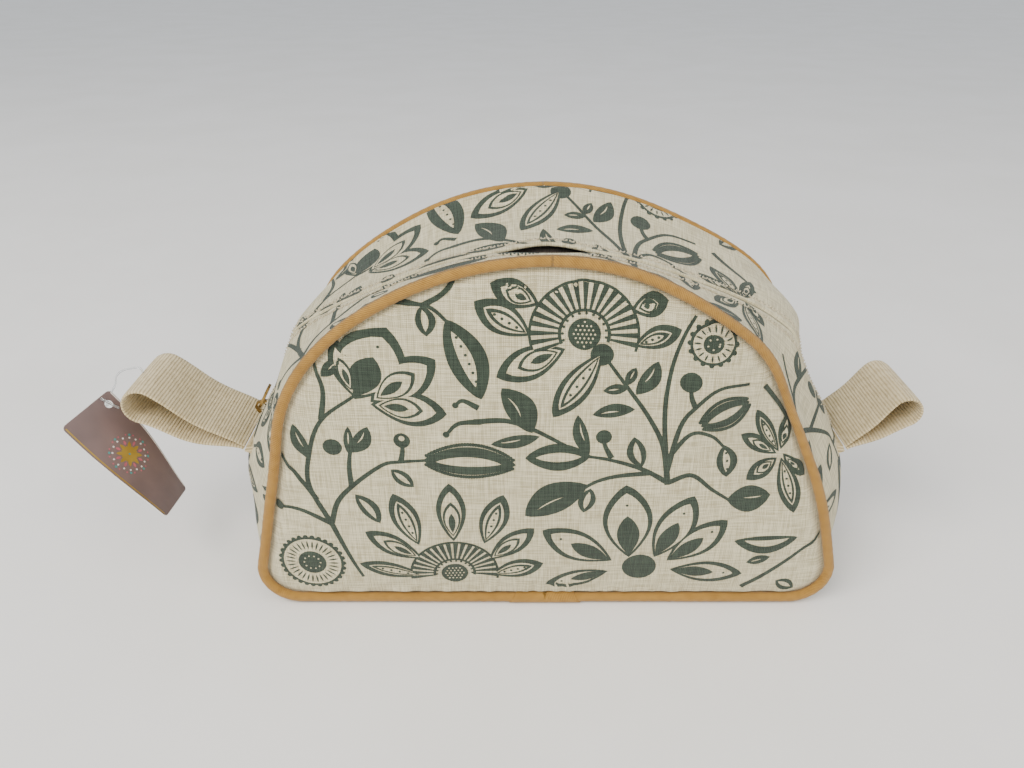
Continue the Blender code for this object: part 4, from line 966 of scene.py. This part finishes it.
def blade(base, tip, width, bend=0.0, blunt=1.0, cells=(0, 0)):
    """A pointed oval patch from base to tip; bend bows its middle line, as a share of its length."""
    base, tip = np.array(base, float), np.array(tip, float)
    length = np.linalg.norm(tip - base)
    rows = cells[0] or max(6, int(length / 0.0016))
    columns = cells[1] or max(2, 2 * int(width / 0.0032))
    s = np.linspace(0.0, 1.0, rows + 1)[:, None]
    t = np.linspace(-1.0, 1.0, columns + 1)[None, :]
    ahead = (tip - base) / length
    square = np.array([-ahead[1], ahead[0]])
    half = width / 2 * np.sin(math.pi * s ** blunt) ** 0.75
    side = bend * length * 4 * s * (1 - s) + t * half
    return base + s[..., None] * length * ahead + side[..., None] * square


def patches_mesh(name, patches, place, material):
    """One open mesh of many flat patches, each carried onto a surface by place(u, v)."""
    points, quads, flats, start = [], [], [], 0
    for patch in patches:
        own = grid_quads(*patch.shape[:2])
        flat = patch.reshape(-1, 2)
        a, b = flat[own[0, 2]] - flat[own[0, 0]], flat[own[0, 3]] - flat[own[0, 1]]
        cross = a[0] * b[1] - a[1] * b[0]
        quads.append((own if cross > 0 else own[:, ::-1]) + start)
        flats.append(flat)
        start += len(flat)
    flat, quads = np.concatenate(flats), np.concatenate(quads)
    world, inside = place(flat[:, 0], flat[:, 1])
    corners = world[quads]
    size = np.linalg.norm(np.cross(corners[:, 2] - corners[:, 0], corners[:, 3] - corners[:, 1]), axis=1)
    quads = quads[(size > 2e-9) & inside[quads].any(axis=1)]
    used, quads = np.unique(quads, return_inverse=True)
    quads = quads.reshape(-1, 4)
    return make_piece(name, world[used], quads, flat[used], material, closed=False)


ROSETTE = np.array([0.0229, 0.0099])


def ring_of_dots(count, ring_r, dot_r, phase=0.0):
    """Dots at even steps round the rosette."""
    turn = 2 * math.pi * (np.arange(count) + phase) / count
    centres = ROSETTE + ring_r * np.stack([np.cos(turn), np.sin(turn)], 1)
    return [disc(centre, dot_r) for centre in centres]


def star_rays(count, inner, outer, width, phase=0.0):
    """Pointed rays round the rosette."""
    turn = 2 * math.pi * (np.arange(count) + phase) / count
    out = np.stack([np.cos(turn), np.sin(turn)], 1)
    return [blade(ROSETTE + inner * ray, ROSETTE + outer * ray, width, cells=(6, 2)) for ray in out]


def on_tag(lift):
    """Carries (down, across) onto the card's printed face."""
    return lambda u, v: (tag_point(u, v, TAG_T / 2 + lift), np.ones(len(u), bool))


line_at = TAG_LOW + TAG_WIDTH - 0.0011
steps = np.linspace(TAG_LOW + 0.0015, TAG_LOW + TAG_LENGTH - 0.0015, 40)
border = np.stack(np.broadcast_arrays(steps[:, None], line_at + np.array([[-0.0003, 0.0003]])), -1)
star = star_rays(8, 0.0006, 0.0062, 0.0019) + star_rays(8, 0.0004, 0.0042, 0.0013, 0.5)
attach(patches_mesh("tag_rosette_gold", star + [disc(ROSETTE, 0.0011, 6), border], on_tag(0.00004),
                     gold_print), "tag")
white = ring_of_dots(16, 0.0078, 0.00045) + ring_of_dots(8, 0.0060, 0.0004, 0.5)
white.append(np.stack(np.broadcast_arrays(steps[:, None], TAG_LOW + np.array([[0.0002, 0.0008]])), -1))
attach(patches_mesh("tag_rosette_white", white, on_tag(0.00005), white_print), "tag")
rose = star_rays(8, 0.0044, 0.0068, 0.0012, 0.5) + ring_of_dots(16, 0.0092, 0.0004, 0.5)
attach(patches_mesh("tag_rosette_rose", rose, on_tag(0.00006), pink_print), "tag")
teal = ring_of_dots(8, 0.0092, 0.0006) + [disc(ROSETTE, 0.0005)]
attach(patches_mesh("tag_rosette_teal", teal, on_tag(0.00009), teal_print), "tag")

# %% String
points, quads = tube(string_line, STRING_R, 8)
string = make_piece("tag_string_filament", points, quads, material=nylon)
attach(string, "string")
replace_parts(string, "tag_string")
for node in ("tag_string_bar", "tag_string_paddle"):
    frame["nodes"][node].data.materials.clear()
    frame["nodes"][node].data.materials.append(nylon)

# %% [markdown]
# The print: one leafy repeat in dark green pigment, drawn in millimetres on the flat cloth. Leaves
# and petals are pointed ovals, stems are smooth bands, berries are discs. A petal is an ink shape,
# the cloth's own colour inside it, and ink again at its heart. The same repeat is shifted for the
# back and the gusset, as it is when a roll of cloth is cut. The first layer lies 0.08 mm above the
# cloth and each further one 0.06 mm higher, with more near the rim and the lips, where cloth turns.

# %% Layers of the print, stems
INK, CLEAR, OVER, CLEARER, CORES, SEEDS = [], [], [], [], [], []
FAN_GROUND, FAN_RAYS, PIPS = [], [], []


def mm(*values):
    """Millimetres to metres."""
    return np.array(values, float) / 1000.0


def stem(*route, width=2.5, tip=1.3):
    """A smooth band through points, narrowing to its tip."""
    middle = smooth_route(mm(*route), max(8, 6 * len(route)))
    ahead = np.gradient(middle, axis=0)
    ahead /= np.linalg.norm(ahead, axis=1, keepdims=True)
    half = np.linspace(width, tip, len(middle))[:, None] / 2000.0
    square = np.stack([-ahead[:, 1], ahead[:, 0]], 1) * half
    INK.append(np.stack([middle - square, middle, middle + square], 1))


print("stems ready")

# %% Leaves
def leaf(base, tip, width, style="plain", bend=0.0):
    """A leaf. plain has a fine vein, slit a clear opening, dotted a row of dots in it, frilled a hem."""
    a, b, w = mm(*base), mm(*tip), width / 1000.0
    ahead = (b - a) / np.linalg.norm(b - a)
    length = np.linalg.norm(b - a)
    w = 1.12 * w
    INK.append(blade(a, b, w, bend))
    if style == "plain":
        CLEAR.append(blade(a + 0.38 * length * ahead, b - 0.2 * length * ahead, 0.0006, bend, cells=(8, 2)))
        return
    CLEAR.append(blade(a + 0.14 * length * ahead, b - 0.16 * length * ahead, 0.34 * w, bend))
    count = max(2, int(length / 0.0042))
    if style == "dotted":
        square = np.array([-ahead[1], ahead[0]])
        for s in (np.arange(count) + 1.0) / (count + 1.0):
            OVER.append(disc(a + s * length * ahead + bend * length * 4 * s * (1 - s) * square, 0.0006))
    if style == "frilled":
        hem = blade(a - 0.0008 * ahead, b + 0.0008 * ahead, w + 0.0022, bend, cells=(36, 2))
        for edge in (hem[:, 0], hem[:, -1]):
            INK.extend(disc(point, 0.0009) for point in edge[2:-2:1])


print("leaf styles ready: plain, slit, dotted, frilled")

# %% Petals
def petal(base, tip, width, style="cored", blunt=1.15, bend=0.0):
    """A petal: ink rim, clear inside, then a core, a row of rings or a double line."""
    a, b, w = mm(*base), mm(*tip), width / 1000.0
    length = np.linalg.norm(b - a)
    ahead = (b - a) / length
    INK.append(blade(a, b, w, bend, blunt))
    CLEAR.append(blade(a + 0.0018 * ahead, b - 0.0042 * ahead, w - 0.0040, bend, blunt))
    if style == "cored":
        OVER.append(blade(a + 0.0015 * ahead, a + 0.60 * length * ahead, 0.46 * w, bend, blunt))
        OVER.append(disc(a + 0.74 * length * ahead, 0.0006))
    if style == "seeded":
        OVER.append(blade(a + 0.002 * ahead, b - 0.005 * ahead, 0.46 * w, bend, blunt))
        CLEARER.append(blade(a + 0.0035 * ahead, b - 0.0075 * ahead, 0.28 * w, bend, blunt))
        SEEDS.extend(disc(a + s * length * ahead, 0.0006) for s in np.arange(0.25, 0.72, 0.13))
    if style == "lined":
        share = 0.60
        OVER.append(blade(a + 0.003 * ahead, a + (0.42 + 0.45 * share) * length * ahead,
                          share * w, bend, blunt))
        CLEARER.append(blade(a + 0.0040 * ahead, a + (0.36 + 0.45 * share) * length * ahead,
                             share * w - 0.0017, bend, blunt))
        CORES.append(blade(a + 0.0050 * ahead, a + 0.50 * length * ahead, 0.24 * w, bend, blunt))


print("petal styles ready: lined, cored, seeded")

# %% Fan flowers
def fan(centre, outer, inner, spread, lean=0.0):
    """A fan flower's head: rays between two arcs round a dotted dome."""
    middle = mm(*centre)
    outer, inner = outer / 1000.0, inner / 1000.0
    turn = math.radians(lean) + np.linspace(-math.radians(spread), math.radians(spread), 61)
    out = np.stack([np.sin(turn), np.cos(turn)], 1)
    for radius, half in ((outer, 0.0011), (inner, 0.0013)):
        INK.append(middle + out[:, None] * (radius + half * np.array([-1.0, 1.0]))[None, :, None])
    back = middle + out[:, None] * np.linspace(inner, outer, 9)[None, :, None]
    FAN_GROUND.append(back)
    for ray in out[1:-1:3]:
        square = np.array([-ray[1], ray[0]])
        ends = np.linspace(inner, outer, 8)[:, None]
        half = np.linspace(0.00045, 0.0011, 8)[:, None, None] * np.array([-1.0, 1.0])[None, :, None]
        FAN_RAYS.append(middle + (ends * ray)[:, None] + half * square)
    OVER.append(disc(middle, 0.62 * inner, 8))
    rows = np.arange(-3, 4) * 0.0016
    a, b = np.meshgrid(rows, rows)
    seeds = np.stack([a + 0.0008 * (np.arange(7) % 2)[:, None], b], -1).reshape(-1, 2)
    PIPS.extend(disc(middle + seed, 0.0004, 2) for seed in seeds[np.hypot(*seeds.T) < 0.5 * inner])
    for angle in turn[2:-2:5]:
        OVER.append(disc(middle + 0.82 * inner * np.array([math.sin(angle), math.cos(angle)]), 0.00055))


print("fan flower ready")

# %% The repeat
for route in (((49, 70), (45.5, 89), (39, 102.5), (30, 115.5), (21, 128)),
              ((49, 70), (45, 102), (46, 123), (49.5, 138), (54, 148)),
              ((48, 76), (51.6, 99), (58, 109), (67, 117), (80, 119)),
              ((47, 82), (56, 95), (65, 94), (71.5, 88)), ((49, 71), (58.6, 74.5), (68, 67), (76, 61)),
              ((49, 71), (38, 78), (25, 83), (15, 85)), ((41, 76), (26, 74.5), (17, 71), (11, 65)),
              ((-92, 48), (-99.5, 67), (-97, 83.5), (-90, 99), (-76, 110.5)),
              ((-92, 48), (-86.5, 62), (-69, 78), (-59.7, 81), (-50, 82.5)),
              ((-81.6, 67), (-81.5, 78), (-79.4, 89)), ((-92, 48), (-86.5, 32), (-81, 18)),
              ((-90, 99), (-88, 112), (-91, 124)), ((-74, 141), (-63, 148), (-47, 148), (-38, 141)),
              ((-30, 101), (-18, 101.5), (-8, 98), (6, 90), (16, 85)), ((-27, 101), (-36, 100), (-41, 95)),
              ((88, 11), (99.6, 21.6), (111, 32), (120, 40)), ((-92, 48), (-104, 54), (-114, 56)),
              ((-48, 148), (-39, 154), (-34, 162)), ((-56, 148), (-56, 156), (-58, 162)),
              ((25, 84), (22, 90), (21.4, 94)), ((-60, 81), (-59, 86), (-59, 92)),
              ((57, 108), (55, 113), (54.4, 120)), ((-97, 60), (-104, 72), (-112, 84)),
              ((-28, 107), (-34, 110), (-37, 108)), ((88, 118), (98, 108), (106, 96))):
    stem(*route)
for base, tip, width, style, bend in (
        ((-39.5, 143), (-26.8, 110.7), 13.5, "dotted", 0.04),
        ((-50.8, 82.5), (-13.4, 80), 12.5, "frilled", 0.03),
        ((16.5, 85), (-9.7, 83.5), 11.5, "slit", 0.0), ((-7, 95.7), (-19, 115.5), 10.5, "plain", -0.08),
        ((-4, 94), (-23.5, 90.5), 5.5, "plain", 0.04), ((15.8, 85), (10.7, 104), 5.5, "plain", 0.05),
        ((33, 106.5), (16.4, 104), 5.5, "plain", -0.04), ((33, 113), (41, 128), 7.0, "plain", -0.08),
        ((30, 116), (20, 114.7), 4.2, "plain", 0.0), ((29, 117), (32.4, 125), 4.0, "plain", 0.0),
        ((37.6, 79), (33.4, 94), 7.0, "slit", 0.04), ((15.7, 71), (-9.5, 54), 13.5, "plain", -0.05),
        ((17.3, 69), (14.8, 56), 6.5, "slit", 0.0), ((75.3, 61), (94.6, 62.6), 12.5, "plain", -0.04),
        ((71.5, 89), (73.8, 73), 8.5, "dotted", 0.05), ((60, 99), (81.4, 110.5), 10.5, "frilled", 0.0),
        ((109, 40), (81, 39), 8.5, "slit", 0.10), ((98, 30), (87.7, 27), 4.5, "plain", 0.0),
        ((-80.4, 63.6), (-71, 49), 7.0, "slit", 0.05), ((-64.4, 77), (-55.3, 69), 6.0, "slit", 0.0),
        ((-80, 84), (-72.3, 96.5), 6.5, "plain", -0.08), ((-81, 83), (-80, 96.5), 3.5, "plain", 0.0),
        ((-48.5, 148), (-47, 136), 7.0, "slit", 0.05), ((-97, 80), (-102, 96), 5.5, "plain", 0.05),
        ((88, 140), (80, 152), 8.0, "plain", 0.1), ((92, 128), (102, 138), 7.0, "slit", 0.0),
        ((103, 15), (112, 10), 6.0, "slit", 0.0), ((-88, 118), (-80, 126), 5.0, "plain", 0.0)):
    leaf(base, tip, width, style, bend)
for base, tip, width, style in (
        ((-8, 137), (-29, 150), 12.5, "seeded"), ((5, 132), (-21, 120), 13.5, "lined"),
        ((19, 131), (1, 103), 12.0, "seeded"), ((31, 134), (49, 142), 9.5, "seeded"),
        ((29, 148), (43, 153), 10.0, "lined"), ((-5, 149), (-23, 157), 11.0, "lined"),
        ((-55, 38), (-64.6, 65), 12.0, "seeded"), ((-40, 40), (-41, 71), 12.5, "lined"),
        ((-27, 38), (-18.6, 65), 12.0, "seeded"), ((-54, 30), (-78, 44), 11.0, "lined"),
        ((-54, 19), (-82, 26), 9.0, "seeded"), ((-25, 28), (-5.6, 47), 11.0, "lined"),
        ((-24, 19), (-1.3, 27), 10.5, "seeded"),
        ((28.7, 28), (-2, 46), 16.0, "cored"), ((52.8, 28), (77, 50), 15.0, "cored"),
        ((27.6, 21), (0, 13), 11.0, "cored"), ((54.7, 22.6), (87, 20), 13.0, "cored"),
        ((47, 30), (61, 64), 17.0, "cored"), ((36, 30), (32, 70), 21.0, "cored"),
        ((-76, 110), (-83, 134), 9.0, "lined"), ((-70, 108), (-44, 127), 17.0, "lined"),
        ((-70, 107), (-40.4, 104), 15.0, "lined"), ((-76, 109), (-62, 139), 27.0, "cored"),
        ((98, 85), (86, 106), 8.5, "seeded"), ((97, 84), (79, 94), 8.0, "lined"),
        ((97, 82), (83, 71), 9.0, "lined"), ((99, 82), (105.6, 53), 10.0, "seeded"),
        ((100, 84), (110, 72), 7.0, "lined"), ((99, 86), (104, 104), 7.0, "lined")):
    petal(base, tip, width, style)
fan((12, 138), 20.0, 10.0, 112, -4)
fan((-40.4, 20), 18.6, 9.5, 100)
INK.append(disc(mm(19, 130), 0.0045, 5))
INK.append(disc(mm(41, 24), 0.0075, 6))
for berry, size in (((-87.3, 86.5), 3.9), ((21.4, 94), 3.2), ((-59, 91), 3.4), ((54.4, 119.5), 4.6),
                    ((-41, 95), 1.4), ((-37, 108), 1.3), ((-58, 162), 1.6), ((-34, 162), 1.6),
                    ((-114, 56), 2.2)):
    INK.append(disc(mm(*berry), size / 1000.0, 4))
CLEAR.append(disc(mm(-59, 92), 0.0012))
for centre, size, count in (((-103, 26), 14.0, 30), ((62, 137), 9.5, 16)):
    turn = 2 * math.pi * np.arange(count) / count
    out = np.stack([np.cos(turn), np.sin(turn)], 1)
    INK.append(disc(mm(*centre), size / 1000.0, 10))
    CLEAR.append(disc(mm(*centre), size / 1000.0 - 0.0012, 10))
    INK.extend(disc(mm(*centre) + size / 1000.0 * ray, 0.0011) for ray in out)
    OVER.extend(blade(mm(*centre) + 0.52 * size / 1000 * ray, mm(*centre) + 0.86 * size / 1000 * ray,
                      0.0008, cells=(4, 2)) for ray in out)
    OVER.append(disc(mm(*centre), 0.45 * size / 1000.0, 6))
    PIPS.extend(disc(mm(*centre) + 0.26 * size / 1000 * ray, 0.0004, 2) for ray in out[::3])
LAYERS = ((INK, ink, 0.00008), (CLEAR + FAN_GROUND, linen, 0.00014), (OVER + FAN_RAYS, ink, 0.00020),
          (CLEARER + PIPS, linen, 0.00026), (SEEDS + CORES, ink, 0.00032))
print("patches in one repeat:", sum(len(layer[0]) for layer in LAYERS))

# %% Print on the cloth
def on_panel(side, lift):
    """Carries the repeat onto a panel."""
    def place(u, v):
        """World points, and which of them lie inside the seam."""
        held_u, held_v = within_panel(u, v)
        return panel_point(held_u, held_v, side, lift), np.hypot(held_u - u, held_v - v) < 1e-7
    return place


def on_gusset(side, lift, start=0.0, stop=SEAM_ALONG):
    """Carries the repeat onto a strip: side is 0 for the base, else the strip's own half."""
    def place(u, v):
        """World points, and which of them lie on the strip."""
        along = np.clip(u, start, stop)
        wrapped = np.where(along > FULL_ALONG / 2, along - FULL_ALONG, along)
        if side == 0:
            y = np.clip(v, -TUCK_Y + 0.0004, TUCK_Y - 0.0004)
        else:
            y = side * np.clip(side * v, lip_edge(along / ZIP_R) + 0.0010, TUCK_Y - 0.0004)
        at_loop = (np.abs(np.abs(wrapped) - SEAM_ALONG) < 0.0045) & (np.abs(y) < 0.0210)
        inside = (np.abs(y - v) < 1e-7) & (np.abs(along - u) < 1e-7) & ~at_loop
        return gusset_point(wrapped, y, lift), inside
    return place


def shifted(patches, moves, low_u, high_u):
    """Copies of the patches moved by each (u, v), kept if they reach into a range of u."""
    copies = [patch + np.array(move) for move in moves for patch in patches]
    return [patch for patch in copies if patch[..., 0].max() > low_u and patch[..., 0].min() < high_u]


GUSSET_MOVES = [(-0.236, -0.112), (-0.012, -0.086), (0.224, -0.104), (0.448, -0.090), (0.672, -0.100)]
for number, (patches, material, lift) in enumerate(LAYERS):
    label = f"print_layer_{number}"
    slot = "printed_linen" if material is linen else None
    flexes(patches_mesh("front_" + label, patches, on_panel(-1, lift), material))
    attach(patches_mesh("back_" + label, shifted(patches, [(-0.062, 0.0), (0.150, -0.012)], -0.14, 0.14),
                         on_panel(1, lift), material), "bag_back")
    top = shifted(patches, GUSSET_MOVES[:3], -SEAM_ALONG, SEAM_ALONG)
    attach(patches_mesh("back_top_" + label, top, on_gusset(1, lift, -SEAM_ALONG), material),
            "bag_back")
    flexes(patches_mesh("front_top_" + label, top, on_gusset(-1, lift, -SEAM_ALONG), material))
    under = shifted(patches, GUSSET_MOVES[2:], SEAM_ALONG, FULL_ALONG - SEAM_ALONG)
    flexes(patches_mesh("base_" + label, under, on_gusset(0, lift, SEAM_ALONG, FULL_ALONG - SEAM_ALONG),
                        material))

# %% [markdown]
# Stitches. Topstitching runs along both lips, each stitch a short rounded bar half sunk in its
# groove.

# %% Topstitching
def stitch_row(side, name):
    """A row of stitches along one lip, all from one small shape."""
    pitch, length, radius = 0.0031, 0.0024, 0.00024
    centres = np.arange(-SEAM_ALONG + 0.006, SEAM_ALONG - 0.006, pitch)
    s = np.array([-0.5, -0.42, 0.0, 0.42, 0.5])
    size = np.array([0.0, 0.8, 1.0, 0.8, 0.0])
    turn = 2 * math.pi * np.arange(6) / 6
    along = centres[:, None, None] + length * s[None, :, None] + 0.0 * turn
    across = radius * size[:, None] * np.cos(turn)
    y = lip_edge(along / ZIP_R) + STITCH_IN + across
    points = gusset_point(along, side * y, 0.0002 + radius * size[:, None] * np.sin(turn))
    one = grid_quads(5, 6, wrap_columns=True)
    quads = (one[None] + 30 * np.arange(len(centres))[:, None, None]).reshape(-1, 4)
    uv = np.stack([along, y], -1).reshape(-1, 2)
    return make_piece(name, points.reshape(-1, 3), quads, uv, thread)


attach(stitch_row(1, "back_lip_stitches"), "bag_back")
flexes(stitch_row(-1, "front_lip_stitches"))

# %% [markdown]
# A pale floor and soft daylight. A broad window light comes from the left and a weaker one from
# the right, so the cloth's weave and puckers show without hard shadows.

# %% Floor, light and world
floor_mesh = bpy.data.meshes.new("floor")
floor_mesh.from_pydata([(-9, -9, 0), (9, -9, 0), (9, 9, 0), (-9, 9, 0)], [], [(0, 1, 2, 3)])
floor = bpy.data.objects.new("floor", floor_mesh)
bpy.context.scene.collection.objects.link(floor)
floor_mesh.materials.append(plain_finish("painted_board_matt", "f4f2ef", "f0eeea", 0.6, 0.0, 60.0))

world = bpy.data.worlds.new("studio")
bpy.context.scene.world = world
world.use_nodes = True
world.node_tree.nodes["Background"].inputs["Color"].default_value = linear("e9eef4")
world.node_tree.nodes["Background"].inputs["Strength"].default_value = 0.90


def soft_light(name, place, aim, size, power, colour):
    """A square area light turned towards a point."""
    data = bpy.data.lights.new(name, "AREA")
    data.size = size
    data.energy = power
    data.color = linear(colour)[:3]
    lamp = bpy.data.objects.new(name, data)
    lamp.location = place
    lamp.rotation_euler = Vector(
        np.array(aim) - np.array(place)).to_track_quat("-Z", "Y").to_euler()
    bpy.context.scene.collection.objects.link(lamp)


soft_light("window", (-0.9, -0.9, 1.3), (0, 0, 0.08), 1.0, 33.0, "fffaf2")
soft_light("room", (1.0, -0.9, 1.0), (0, 0, 0.08), 1.2, 13.0, "fff6ea")
print("floor, light and world: ready")
